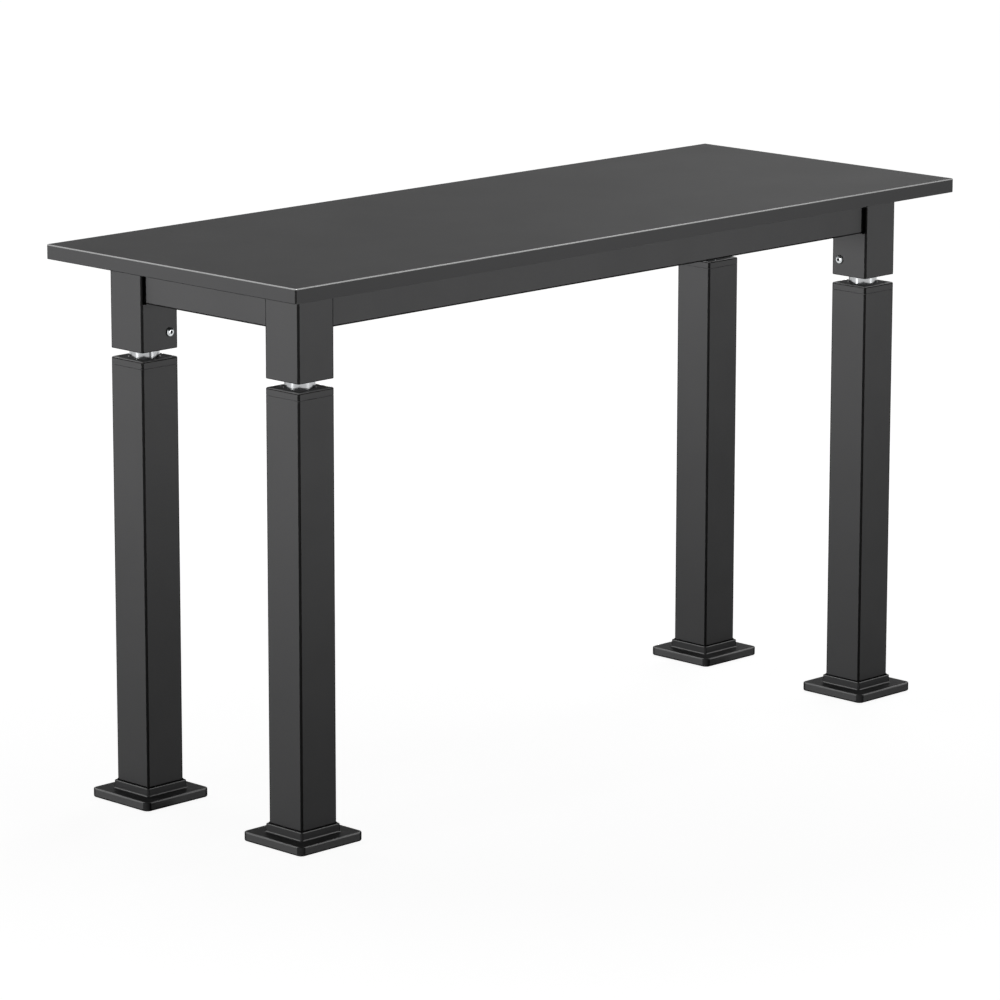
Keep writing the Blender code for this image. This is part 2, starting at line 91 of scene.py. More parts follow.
class Corner(Enum):
    """A leg's corner: signs of x and y, and the quarter turns from the front left corner."""

    FRONT_LEFT = (-1, -1, 0)
    FRONT_RIGHT = (1, -1, 1)
    BACK_RIGHT = (1, 1, 2)
    BACK_LEFT = (-1, 1, 3)

    @property
    def tag(self) -> str:
        """Name of the corner as the CAD nodes spell it."""
        return self.name.lower()

    @property
    def turn(self) -> Triple:
        """Turn about Z from the front left corner, in radians."""
        return (0.0, 0.0, self.value[2] * QUARTER_TURN)

    def at(self, x: float, y: float, z: float = 0.0) -> Triple:
        """Place on this corner's side, at distances x and y from the middle."""
        return (self.value[0] * x, self.value[1] * y, z)


class Slot(Enum):
    """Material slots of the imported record."""

    WORKTOP = "worktop_resin"
    POWDER = "powder_coat"
    CHROME = "chrome"
    SCREW = "chrome_screw"
    STEEL = "plain_steel"
    GUIDE = "guide_plastic"
    FOOT = "foot_plastic"
    CASTING = "pump_casting"


@dataclass(frozen=True)
class Sizes:
    """Sizes of the table, the same as the CAD's."""

    top_length: float = 1.219
    top_width: float = 0.4554
    top_thickness: float = 0.01905
    height: float = 0.716
    overhang: float = 0.0554
    leg: float = 0.0596
    leg_radius: float = 0.0024
    wall: float = 0.0025
    post_length: float = 0.1126
    column_gap: float = 0.0107
    cap_height: float = 0.0096
    apron_height: float = 0.0508
    apron_depth: float = 0.0254
    apron_recess: float = 0.0072
    fit: float = 0.0003
    slide: float = 0.0003
    line_offset: float = 0.010
    line_drop: float = 0.024

    @property
    def under_top(self) -> float:
        """Height of the worktop's lower face."""
        return self.height - self.top_thickness

    @property
    def leg_half(self) -> float:
        """Half the width of a leg."""
        return self.leg / 2

    @property
    def inner_half(self) -> float:
        """Half the inside width of a leg."""
        return self.leg_half - self.wall

    @property
    def leg_x(self) -> float:
        """Distance of the leg axes from the middle, along X."""
        return self.top_length / 2 - self.overhang - self.leg_half

    @property
    def leg_y(self) -> float:
        """Distance of the leg axes from the middle, along Y."""
        return self.top_width / 2 - self.overhang - self.leg_half

    @property
    def post_bottom(self) -> float:
        """Height of the posts' lower ends."""
        return self.under_top - self.post_length

    @property
    def cap_top(self) -> float:
        """Height of the guide caps' upper faces."""
        return self.post_bottom - self.column_gap

    @property
    def seam(self) -> float:
        """Height of the joint between cap and tube."""
        return self.cap_top - self.cap_height

    @property
    def apron_bottom(self) -> float:
        """Height of the aprons' lower faces."""
        return self.under_top - self.apron_height

    @property
    def apron_middle(self) -> float:
        """Height of the aprons' middle, and of the drive shaft."""
        return self.under_top - self.apron_height / 2

    @property
    def apron_out_x(self) -> float:
        """Distance of the end aprons' outer faces from the middle."""
        return self.leg_x + self.leg_half - self.apron_recess

    @property
    def apron_out_y(self) -> float:
        """Distance of the long aprons' outer faces from the middle."""
        return self.leg_y + self.leg_half - self.apron_recess


SIZES = Sizes()


class Bench:
    """Hand tools: each makes or changes one mesh with Blender's own operators."""

    @staticmethod
    def clear() -> None:
        """Go to object mode with nothing selected."""
        if bpy.context.object and bpy.context.object.mode != "OBJECT":
            bpy.ops.object.mode_set(mode="OBJECT")
        bpy.ops.object.select_all(action="DESELECT")

    @staticmethod
    def hold(piece: Piece) -> None:
        """Make a piece the only one selected and active.

        Args:
            piece: piece to hold.
        """
        Bench.clear()
        piece.select_set(True)
        bpy.context.view_layer.objects.active = piece

    @staticmethod
    def settle(piece: Piece) -> None:
        """Put a piece's place, turn and size into its mesh."""
        Bench.hold(piece)
        bpy.ops.object.transform_apply(location=True, rotation=True, scale=True)

    @staticmethod
    def block(name: str, low: Sequence[float], high: Sequence[float]) -> Piece:
        """Add a block between two corners.

        Args:
            name: name of the piece.
            low: lowest corner.
            high: highest corner.

        Returns:
            The new piece, settled.
        """
        low_v, high_v = Vector(low), Vector(high)
        Bench.clear()
        bpy.ops.mesh.primitive_cube_add(size=1.0, location=(low_v + high_v) / 2)
        piece = bpy.context.object
        piece.name = name
        piece.data.name = name
        piece.scale = high_v - low_v
        Bench.settle(piece)
        return piece

    @staticmethod
    def disc(name: str, radius: float, low: float, high: float, at: Sequence[float] = ORIGIN,
             axis: Axis = Axis.Z, count: int = 96) -> Piece:
        """Add a round bar along an axis.

        Args:
            name: name of the piece.
            radius: radius of the bar.
            low: start along the axis, counted from at.
            high: end along the axis, counted from at.
            at: point that the bar's axis passes through.
            axis: direction of the bar.
            count: number of sides.

        Returns:
            The new piece, settled.
        """
        Bench.clear()
        bpy.ops.mesh.primitive_cylinder_add(vertices=count, radius=radius, depth=high - low)
        piece = bpy.context.object
        piece.name = name
        piece.data.name = name
        along = Vector([1.0 if axis is one else 0.0 for one in Axis])
        piece.rotation_euler = axis.value
        piece.location = Vector(at) + along * (low + high) / 2
        Bench.settle(piece)
        return piece

    @staticmethod
    def pipe(name: str, points: Sequence[Sequence[float]], radius: float, bend: float, count: int = 28,
             steps: int = 10) -> Piece:
        """Draw a round tube along a path with square corners, spun round each corner.

        Args:
            name: name of the piece.
            points: corners of the path, from end to end.
            radius: radius of the tube.
            bend: radius of the corners, on the tube's axis.
            count: number of sides.
            steps: number of rings in a corner.

        Returns:
            The new piece, closed at both ends.
        """
        path = [Vector(point) for point in points]
        runs = [(b - a).normalized() for a, b in zip(path, path[1:])]
        Bench.clear()
        turn = runs[0].to_track_quat("Z", "Y").to_euler()
        bpy.ops.mesh.primitive_circle_add(vertices=count, radius=radius, location=path[0], rotation=turn)
        piece = bpy.context.object
        piece.name = name
        piece.data.name = name
        Bench.settle(piece)
        bpy.ops.object.mode_set(mode="EDIT")
        bpy.ops.mesh.select_mode(type="EDGE")
        bpy.ops.mesh.select_all(action="SELECT")
        for index, run in enumerate(runs):
            trims = (index > 0) + (index < len(runs) - 1)
            length = (path[index + 1] - path[index]).length - trims * bend
            bpy.ops.mesh.extrude_region_move(TRANSFORM_OT_translate={"value": tuple(run * length)})
            if index < len(runs) - 1:
                after = runs[index + 1]
                centre = path[index + 1] - run * bend + after * bend
                bpy.ops.mesh.spin(steps=steps, angle=-QUARTER_TURN, center=centre, axis=run.cross(after))
        bpy.ops.mesh.select_all(action="SELECT")
        bpy.ops.mesh.fill_holes(sides=0)
        bpy.ops.object.mode_set(mode="OBJECT")
        return piece

    @staticmethod
    def pick_edges(piece: Piece, wanted: EdgeTest) -> None:
        """Enter edit mode and select the edges whose two ends satisfy a test.

        Args:
            piece: piece to edit.
            wanted: test on an edge's two ends.
        """
        Bench.hold(piece)
        bpy.ops.object.mode_set(mode="EDIT")
        bpy.ops.mesh.select_mode(type="EDGE")
        bpy.ops.mesh.select_all(action="DESELECT")
        shape = bmesh.from_edit_mesh(piece.data)
        for edge in shape.edges:
            edge.select_set(wanted(edge.verts[0].co, edge.verts[1].co))
        bmesh.update_edit_mesh(piece.data)

    @staticmethod
    def pick_faces(piece: Piece, wanted: FaceTest) -> None:
        """Enter edit mode and select the faces whose middle and normal satisfy a test.

        Args:
            piece: piece to edit.
            wanted: test on a face's middle and normal.
        """
        Bench.hold(piece)
        bpy.ops.object.mode_set(mode="EDIT")
        bpy.ops.mesh.select_mode(type="FACE")
        bpy.ops.mesh.select_all(action="DESELECT")
        shape = bmesh.from_edit_mesh(piece.data)
        shape.normal_update()
        for face in shape.faces:
            face.select_set(wanted(face.calc_center_median(), face.normal))
        shape.select_flush_mode()
        bmesh.update_edit_mesh(piece.data)

    @staticmethod
    def round_edges(piece: Piece, wanted: EdgeTest, radius: float, steps: int) -> None:
        """Round the edges that satisfy a test.

        Args:
            piece: piece to change.
            wanted: test on an edge's two ends.
            radius: radius of the rounding.
            steps: number of strips across it.
        """
        Bench.pick_edges(piece, wanted)
        bpy.ops.mesh.bevel(offset=radius, segments=steps, affect="EDGES", profile=0.5)
        bpy.ops.object.mode_set(mode="OBJECT")

    @staticmethod
    def inset(piece: Piece, wanted: FaceTest, width: float) -> None:
        """Inset the faces that satisfy a test, leaving a flat rim round them.

        Args:
            piece: piece to change.
            wanted: test on a face's middle and normal.
            width: width of the rim.
        """
        Bench.pick_faces(piece, wanted)
        bpy.ops.mesh.inset(thickness=width, depth=0.0)
        bpy.ops.object.mode_set(mode="OBJECT")

    @staticmethod
    def grow(piece: Piece, wanted: FaceTest, inset: float, shift: Sequence[float]) -> None:
        """Inset the faces that satisfy a test, then extrude them by a shift.

        Args:
            piece: piece to change.
            wanted: test on a face's middle and normal.
            inset: width of the rim left round the faces.
            shift: move of the extruded faces.
        """
        Bench.pick_faces(piece, wanted)
        if inset:
            bpy.ops.mesh.inset(thickness=inset, depth=0.0)
        bpy.ops.mesh.extrude_region_move(TRANSFORM_OT_translate={"value": tuple(shift)})
        bpy.ops.object.mode_set(mode="OBJECT")

    @staticmethod
    def shrink(piece: Piece, wanted: FaceTest, factor: float, height: float) -> None:
        """Resize level faces about the Z axis.

        Args:
            piece: piece to change.
            wanted: test on a face's middle and normal.
            factor: factor on x and y.
            height: height of the faces.
        """
        Bench.pick_faces(piece, wanted)
        bpy.ops.transform.resize(value=(factor, factor, 1.0), center_override=(0.0, 0.0, height))
        bpy.ops.object.mode_set(mode="OBJECT")

    @staticmethod
    def carve(piece: Piece, cutter: Piece, join: bool = False) -> None:
        """Cut a piece with another, or join the two, and remove the second one.

        Args:
            piece: piece to change.
            cutter: second piece, which is used up.
            join: whether to join the two.
        """
        Bench.hold(piece)
        step = piece.modifiers.new("carve", "BOOLEAN")
        step.operation = "UNION" if join else "DIFFERENCE"
        step.solver = "EXACT"
        step.object = cutter
        bpy.ops.object.modifier_apply(modifier=step.name)
        bpy.data.objects.remove(cutter, do_unlink=True)

    @staticmethod
    def ease(piece: Piece, width: float, steps: int = 2, angle: float = 40.0) -> None:
        """Ease all sharp edges with an applied bevel modifier.

        Args:
            piece: piece to change.
            width: width of the bevel.
            steps: number of strips across it.
            angle: least angle of a sharp edge, in degrees.
        """
        Bench.hold(piece)
        step = piece.modifiers.new("ease", "BEVEL")
        step.width = width
        step.segments = steps
        step.limit_method = "ANGLE"
        step.angle_limit = math.radians(angle)
        bpy.ops.object.modifier_apply(modifier=step.name)

    @staticmethod
    def flatten(piece: Piece) -> None:
        """Dissolve the edges that a join leaves across flat faces.

        Args:
            piece: piece to change.
        """
        Bench.hold(piece)
        bpy.ops.object.mode_set(mode="EDIT")
        bpy.ops.mesh.select_all(action="SELECT")
        bpy.ops.mesh.dissolve_limited(angle_limit=math.radians(0.1))
        bpy.ops.object.mode_set(mode="OBJECT")

    @staticmethod
    def sort(piece: Piece) -> None:
        """Sort a mesh in edit mode by place, because extruding leaves another order of faces each run.

        Args:
            piece: piece to sort.
        """
        shape = bmesh.from_edit_mesh(piece.data)
        for row, key in (
            (shape.verts, lambda vert: tuple(vert.co)),
            (shape.edges, lambda edge: sorted(vert.index for vert in edge.verts)),
            (shape.faces, lambda face: sorted(vert.index for vert in face.verts)),
        ):
            row.index_update()
            ranks = {element.index: rank for rank, element in enumerate(sorted(row, key=key))}
            row.sort(key=lambda element: ranks[element.index])
            row.index_update()
        bmesh.update_edit_mesh(piece.data)

    @staticmethod
    def smooth(piece: Piece, angle: float = 35.0) -> None:
        """Merge doubles, turn faces outwards and shade the curved faces smooth.

        Args:
            piece: piece to change.
            angle: greatest angle that is shaded smooth, in degrees.
        """
        Bench.hold(piece)
        bpy.ops.object.mode_set(mode="EDIT")
        bpy.ops.mesh.select_all(action="SELECT")
        bpy.ops.mesh.remove_doubles(threshold=0.000002)
        bpy.ops.mesh.normals_make_consistent(inside=False)
        Bench.sort(piece)
        bpy.ops.object.mode_set(mode="OBJECT")
        bpy.ops.object.shade_smooth_by_angle(angle=math.radians(angle))
        step = piece.modifiers.new("weighted", "WEIGHTED_NORMAL")
        step.keep_sharp = True
        bpy.ops.object.modifier_apply(modifier=step.name)

    @staticmethod
    def copy(piece: Piece, name: str, turn: Triple, shift: Sequence[float]) -> Piece:
        """Copy a piece with its own mesh, turn it about the origin and shift it.

        Args:
            piece: pattern piece.
            name: name of the copy.
            turn: turns about X, Y and Z, in radians.
            shift: move after the turn.

        Returns:
            The copy, settled.
        """
        Bench.hold(piece)
        bpy.ops.object.duplicate(linked=False)
        made = bpy.context.object
        made.name = name
        made.data.name = name
        made.rotation_euler = turn
        made.location = shift
        Bench.settle(made)
        return made

    @staticmethod
    def discard(piece: Piece) -> None:
        """Remove a pattern piece that has been copied."""
        bpy.data.objects.remove(piece, do_unlink=True)


class Nodes:
    """Short way to wire a material's node tree."""

    def __init__(self, tree: bpy.types.NodeTree) -> None:
        """Keep the tree to wire."""
        self.tree = tree

    def add(self, kind: str, **values: object) -> bpy.types.Node:
        """Add a node and set its properties or inputs by name.

        Args:
            kind: type of the node.
            values: properties or inputs, with _ for a space.

        Returns:
            The new node.
        """
        node = self.tree.nodes.new(kind)
        for name, value in values.items():
            plug = name.replace("_", " ")
            if hasattr(node, name):
                setattr(node, name, value)
            else:
                node.inputs[plug].default_value = value
        return node

    def link(self, start: Socket, end: Socket) -> None:
        """Wire two sockets."""
        self.tree.links.new(start, end)

    def noise(self, scale: float, detail: float, stretch: Triple) -> Socket:
        """Noise on Object coordinates.

        Args:
            scale: size of the pattern, in cycles per metre.
            detail: number of finer octaves.
            stretch: factor on each axis.

        Returns:
            Socket with the noise value, about 0.5 on average.
        """
        place = self.add("ShaderNodeTexCoord")
        mapping = self.add("ShaderNodeMapping")
        mapping.inputs["Scale"].default_value = stretch
        self.link(place.outputs["Object"], mapping.inputs["Vector"])
        noise = self.add("ShaderNodeTexNoise", Scale=scale, Detail=detail, Roughness=0.55)
        self.link(mapping.outputs["Vector"], noise.inputs["Vector"])
        return noise.outputs["Fac"]

    def spread(self, value: Socket, low: float, high: float, start: float = 0.3,
               end: float = 0.7) -> Socket:
        """Map a noise value to a range.

        Args:
            value: socket to map.
            low: result at start.
            high: result at end.
            start: value that gives low.
            end: value that gives high.

        Returns:
            Socket with the mapped value.
        """
        node = self.add("ShaderNodeMapRange")
        node.inputs["From Min"].default_value = start
        node.inputs["From Max"].default_value = end
        node.inputs["To Min"].default_value = low
        node.inputs["To Max"].default_value = high
        self.link(value, node.inputs["Value"])
        return node.outputs["Result"]


@dataclass(frozen=True)
class Finish:
    """A surface finish with mottled colour, uneven gloss and fine grain."""

    name: str
    slot: Slot
    tone: Triple
    metal: float = 0.0
    rough: float = 0.5
    rough_spread: float = 0.05
    specular: float = 0.5
    tone_spread: float = 0.08
    mottle: float = 9.0
    speck: float = 900.0
    grain: float = 700.0
    grain_depth: float = 0.00003
    stretch: Triple = (1.0, 1.0, 1.0)
    ior: float = 1.5

    def material(self) -> bpy.types.Material:
        """Build the finish as a node material, once.

        Returns:
            The material, the same one on each call.
        """
        made = bpy.data.materials.get(self.name)
        if made is not None:
            return made
        made = bpy.data.materials.new(self.name)
        made.use_nodes = True
        nodes = Nodes(made.node_tree)
        shader = made.node_tree.nodes["Principled BSDF"]
        shader.inputs["Metallic"].default_value = self.metal
        shader.inputs["Specular IOR Level"].default_value = self.specular
        shader.inputs["IOR"].default_value = self.ior
        self._colour(nodes, shader)
        self._gloss(nodes, shader)
        self._grain(nodes, shader)
        return made

    def _colour(self, nodes: Nodes, shader: bpy.types.Node) -> None:
        """Wire the mottled, finely speckled colour.

        Args:
            nodes: node tree of the material.
            shader: its surface shader.
        """
        broad = nodes.spread(nodes.noise(self.mottle, 3.0, self.stretch), 0.0, 1.0)
        fine = nodes.spread(nodes.noise(self.speck, 1.0, self.stretch), 0.0, 1.0)
        blend = nodes.add("ShaderNodeMath", operation="MULTIPLY_ADD")
        nodes.link(fine, blend.inputs[0])
        blend.inputs[1].default_value = 0.5
        half = nodes.add("ShaderNodeMath", operation="MULTIPLY")
        half.inputs[1].default_value = 0.5
        nodes.link(broad, half.inputs[0])
        nodes.link(half.outputs[0], blend.inputs[2])
        mix = nodes.add("ShaderNodeMix", data_type="RGBA")
        low, high = 1.0 - self.tone_spread, 1.0 + self.tone_spread
        mix.inputs[6].default_value = (*(c * low for c in self.tone), 1.0)
        mix.inputs[7].default_value = (*(min(c * high, 1.0) for c in self.tone), 1.0)
        nodes.link(blend.outputs[0], mix.inputs["Factor"])
        nodes.link(mix.outputs[2], shader.inputs["Base Color"])

    def _gloss(self, nodes: Nodes, shader: bpy.types.Node) -> None:
        """Wire the uneven roughness.

        Args:
            nodes: node tree of the material.
            shader: its surface shader.
        """
        value = nodes.noise(self.mottle * 2.3, 4.0, self.stretch)
        gloss = nodes.spread(value, self.rough - self.rough_spread, self.rough + self.rough_spread)
        nodes.link(gloss, shader.inputs["Roughness"])

    def _grain(self, nodes: Nodes, shader: bpy.types.Node) -> None:
        """Wire the fine surface grain as bump.

        Args:
            nodes: node tree of the material.
            shader: its surface shader.
        """
        bump = nodes.add("ShaderNodeBump")
        bump.inputs["Strength"].default_value = 1.0
        bump.inputs["Distance"].default_value = self.grain_depth
        nodes.link(nodes.noise(self.grain, 2.0, self.stretch), bump.inputs["Height"])
        nodes.link(bump.outputs["Normal"], shader.inputs["Normal"])


POWDER = Finish("black_powder_coat", Slot.POWDER, (0.062, 0.062, 0.063), specular=0.13, tone_spread=0.06,
                grain=620.0, grain_depth=0.00002)
# Painted shade: rounded edges of the aprons, posts, leg tubes, caps and feet are painted near black,
# standing for the shade on edges turned from the light.
POWDER_SHADE_EDGE = replace(POWDER, name="thin_powder_edge", tone=(0.014, 0.014, 0.014), rough=0.6, specular=0.0,
                      tone_spread=0.15)
RESIN = Finish("black_worktop_resin", Slot.WORKTOP, (0.061, 0.061, 0.062), rough=0.62, rough_spread=0.012,
               specular=0.09, tone_spread=0.025, mottle=5.0, speck=1400.0, grain=1500.0,
               grain_depth=0.00001)
# Front and left upper edges of the worktop: glossier, and painted a little lighter than the resin as a
# painted highlight.
RESIN_HIGHLIGHT_EDGE = replace(RESIN, name="polished_resin_edge", tone=(0.08, 0.08, 0.081), rough=0.26,
                     rough_spread=0.02, specular=0.95, ior=2.25, grain_depth=0.000003)
# Painted shade: the worktop's back and right upper edges and its upright corners are painted dark and
# glossless.
RESIN_SHADE_EDGE = replace(RESIN, name="matt_resin_edge", tone=(0.02, 0.02, 0.02), rough=0.6, rough_spread=0.05,
                     specular=0.0, grain_depth=0.000003)
# Painted shade: the worktop's lower edges are painted dark.
RESIN_SHADE_UNDER = replace(RESIN_SHADE_EDGE, name="sawn_resin_edge", tone=(0.018, 0.018, 0.018))
CHROME = Finish("hard_chrome", Slot.CHROME, (0.42, 0.428, 0.436), metal=1.0, rough=0.155, rough_spread=0.01,
                tone_spread=0.01, grain=60.0, grain_depth=0.0000003, stretch=(1.0, 1.0, 6.0))
SCREW = Finish("bright_screw_chrome", Slot.SCREW, (0.66, 0.69, 0.7), metal=1.0, rough=0.14,
               rough_spread=0.04, tone_spread=0.04, grain=900.0, grain_depth=0.000006)
# Painted shade: the inside of each screw's hexagon socket is painted dark.
PAINTED_SHADE_SOCKET = Finish("oiled_key_socket", Slot.SCREW, (0.05, 0.05, 0.05), metal=1.0, rough=0.4, grain=900.0,
                grain_depth=0.000006)
# Painted shade: a thin black ring round each post screw's head stands for the shadow gap round it.
SHADE_RING = Finish("black_washer", Slot.SCREW, (0.014, 0.014, 0.014), specular=0.1, grain=900.0,
                grain_depth=0.000006)
STEEL = Finish("turned_steel", Slot.STEEL, (0.46, 0.46, 0.47), metal=1.0, rough=0.32, rough_spread=0.08,
               grain=300.0, grain_depth=0.00001, stretch=(1.0, 1.0, 14.0))
GUIDE = Finish("black_guide_plastic", Slot.GUIDE, (0.062, 0.062, 0.063), specular=0.13, grain=1100.0,
               grain_depth=0.000012)
# Painted light: the cap's upper face is painted lighter than its sides, and nearly glossless.
GUIDE_LIT_TOP = replace(GUIDE, name="smooth_guide_face", tone=(0.12, 0.12, 0.121), rough=0.4, specular=0.002,
                    grain_depth=0.000004)
# Painted highlight: the cap's upper edge is painted lighter than the plastic, and glossier.
GUIDE_HIGHLIGHT_EDGE = replace(GUIDE, name="polished_guide_edge", tone=(0.13, 0.13, 0.131), rough=0.35, specular=0.6,
                     grain_depth=0.000004)
FOOT = Finish("black_foot_plastic", Slot.FOOT, (0.105, 0.105, 0.106), rough=0.45, specular=0.1, grain=900.0,
              grain_depth=0.000015)
# Painted shade: the collar's drafted sides are a darker copy of the foot plastic.
FOOT_COLLAR_SHADE = replace(FOOT, name="shaded_foot_collar", tone=(0.055, 0.055, 0.056))
# Painted shade: the foot's upright rounded corners are painted dark and glossless.
FOOT_CORNER_SHADE = replace(FOOT, name="shaded_foot_corner", tone=(0.05, 0.05, 0.051), rough=0.5, specular=0.0)
# Painted light: the foot's level upper faces are painted lighter than its sides, and nearly glossless.
FOOT_LIT_TOP = replace(FOOT, name="smooth_foot_face", tone=(0.12, 0.12, 0.121), rough=0.3, specular=0.004,
                   grain_depth=0.000006)
# Painted highlight: the foot's upper edges are glossier and painted lighter than the collar.
FOOT_HIGHLIGHT_EDGE = replace(FOOT, name="polished_foot_edge", tone=(0.095, 0.095, 0.096), rough=0.3, specular=0.6,
                    ior=1.7, grain_depth=0.000004)
CASTING = Finish("bare_casting", Slot.CASTING, (0.42, 0.42, 0.43), metal=1.0, rough=0.48, rough_spread=0.1,
                 tone_spread=0.12, mottle=30.0, grain=420.0, grain_depth=0.00008)


def dress(piece: Piece, finish: Finish, body: str, *nodes: str) -> Piece:
    """Give a piece its finish, its body and the CAD nodes it stands for.

    Args:
        piece: finished mesh.
        finish: surface finish.
        body: CAD body that the piece rides on.
        nodes: CAD nodes that it replaces.

    Returns:
        The same piece.
    """
    piece.data.materials.append(finish.material())
    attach(piece, body)
    if nodes:
        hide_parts(*nodes)
    LOG.info("%s: %d faces on %s", piece.name, len(piece.data.polygons), body)
    return piece


def dress_edges(piece: Piece, finish: Finish, wanted: PolygonTest) -> None:
    """Give some faces of a dressed piece another finish.

    Args:
        piece: dressed piece.
        finish: finish of those faces.
        wanted: test that picks them.
    """
    piece.data.materials.append(finish.material())
    spot = len(piece.data.materials) - 1
    for face in piece.data.polygons:
        if wanted(face):
            face.material_index = spot


def slanted(face: Face) -> bool:
    """Tell whether a face belongs to a rounding between two flat sides."""
    return max(abs(value) for value in face.normal) < FLAT


def upright(a: Vector, b: Vector) -> bool:
    """Tell whether an edge stands along Z."""
    return abs(a.z - b.z) > NEAR and (a.xy - b.xy).length < TOUCH


def level_at(height: float) -> EdgeTest:
    """Make a test for edges that lie at a height."""
    return lambda a, b: abs(a.z - height) < TOUCH and abs(b.z - height) < TOUCH


def faces_up_at(height: float) -> FaceTest:
    """Make a test for faces at a height that look up or down."""
    return lambda middle, normal: abs(middle.z - height) < TOUCH and abs(normal.z) > LEVEL


@dataclass
class Worktop:
    """Thin black slab with eased edges."""

    edge: float = 0.0016
    lower: float = 0.0008
    rim: float = 0.0015
    lower_rim: float = 0.0005
    polished_up_to: float = 0.85

    def build(self) -> None:
        """Model the slab and dress it."""
        half_x, half_y = SIZES.top_length / 2, SIZES.top_width / 2
        low, high = SIZES.under_top, SIZES.height
        slab = Bench.block("worktop_slab", (-half_x, -half_y, low), (half_x, half_y, high))
        at_top = level_at(high)
        Bench.round_edges(slab, lambda a, b: upright(a, b) or at_top(a, b), self.edge, steps=6)
        Bench.round_edges(slab, level_at(low), self.lower, steps=3)
        Bench.inset(slab, faces_up_at(high), self.rim)
        Bench.inset(slab, faces_up_at(low), self.lower_rim)
        Bench.smooth(slab)
        dress(slab, RESIN, FRAME_BODY, "worktop")
        self._dress_edges(slab)

    def _dress_edges(self, slab: Piece) -> None:
        """Polish the front and left upper edges and paint them a little lighter as a painted highlight;
        paint the back and right upper edges, the upright corners and the lower edges but the front ones
        dark as painted shade.

        Args:
            slab: dressed slab.
        """

        def far(face: Face) -> bool:
            """Tell whether a face is of an upright corner, or of a back or right upper edge."""
            return slanted(face) and (face.normal.z < LEAN or max(face.normal.x, face.normal.y) > LEAN)

        def below(face: Face) -> bool:
            """Tell whether a face is of a lower edge."""
            return -FLAT < face.normal.z < -LEAN

        # Painted highlight on the upper edges, then painted shade on the far upper edges, the upright
        # corners and the lower edges; the front lower edges go back to the plain resin.
        dress_edges(slab, RESIN_HIGHLIGHT_EDGE, lambda face: LEAN < face.normal.z < self.polished_up_to)
        # Painted shade on the upright corners and the back and right upper edges.
        dress_edges(slab, RESIN_SHADE_EDGE, far)
        # Painted shade on the lower edges; the front ones then keep the plain resin.
        dress_edges(slab, RESIN_SHADE_UNDER, below)
        dress_edges(slab, RESIN, lambda face: below(face) and face.normal.y < -LEAN)


@dataclass
class Aprons:
    """Four rectangular tubes under the worktop, their ends inside the posts."""

    radius: float = 0.0022
    wall: float = 0.002
    entry: float = 0.010
    shaft_hole: float = 0.009
    drill_half: float = 0.02

    def build(self) -> None:
        """Model the four tubes and dress them."""
        reaches = (SIZES.leg_x - SIZES.leg_half + self.entry, SIZES.leg_y - SIZES.leg_half + self.entry)
        outs = (SIZES.apron_out_y, SIZES.apron_out_x)
        for side, along, sign in (("front", 0, -1), ("back", 0, 1), ("left", 1, -1), ("right", 1, 1)):
            near, far = sorted((sign * outs[along], sign * (outs[along] - SIZES.apron_depth)))
            low, high = (-reaches[along], near), (reaches[along], far)
            if along:
                low, high = low[::-1], high[::-1]
            tube = self._tube("apron_tube_" + side, low, high, along)
            dress(tube, POWDER, FRAME_BODY, "apron_" + side)
            # Painted shade on the tube's rounded edges.
            dress_edges(tube, POWDER_SHADE_EDGE, slanted)

    def _tube(self, name: str, low: Pair, high: Pair, along: int) -> Piece:
        """Model one hollow tube, the right one with a hole for the drive shaft.

        Args:
            name: name of the piece.
            low: lowest x and y.
            high: highest x and y.
            along: 0 for a tube along X, 1 along Y.

        Returns:
            The tube, shaded.
        """
        bottom, top = SIZES.apron_bottom, SIZES.under_top - SIZES.fit
        tube = Bench.block(name, (*low, bottom), (*high, top))
        half = (high[along] - low[along]) / 2
        Bench.round_edges(tube, lambda a, b: abs(a[along] - b[along]) > half, self.radius, steps=5)
        slim = [self.wall, self.wall]
        slim[along] = -OVERRUN
        core = Bench.block("core", (low[0] + slim[0], low[1] + slim[1], bottom + self.wall),
                           (high[0] - slim[0], high[1] - slim[1], top - self.wall))
        Bench.carve(tube, core)
        if name.endswith("right"):
            spot = ((low[0] + high[0]) / 2, 0.0, SIZES.apron_middle)
            drill = Bench.disc("drill", self.shaft_hole, -self.drill_half, self.drill_half, spot, Axis.X)
            Bench.carve(tube, drill)
        Bench.smooth(tube)
        return tube


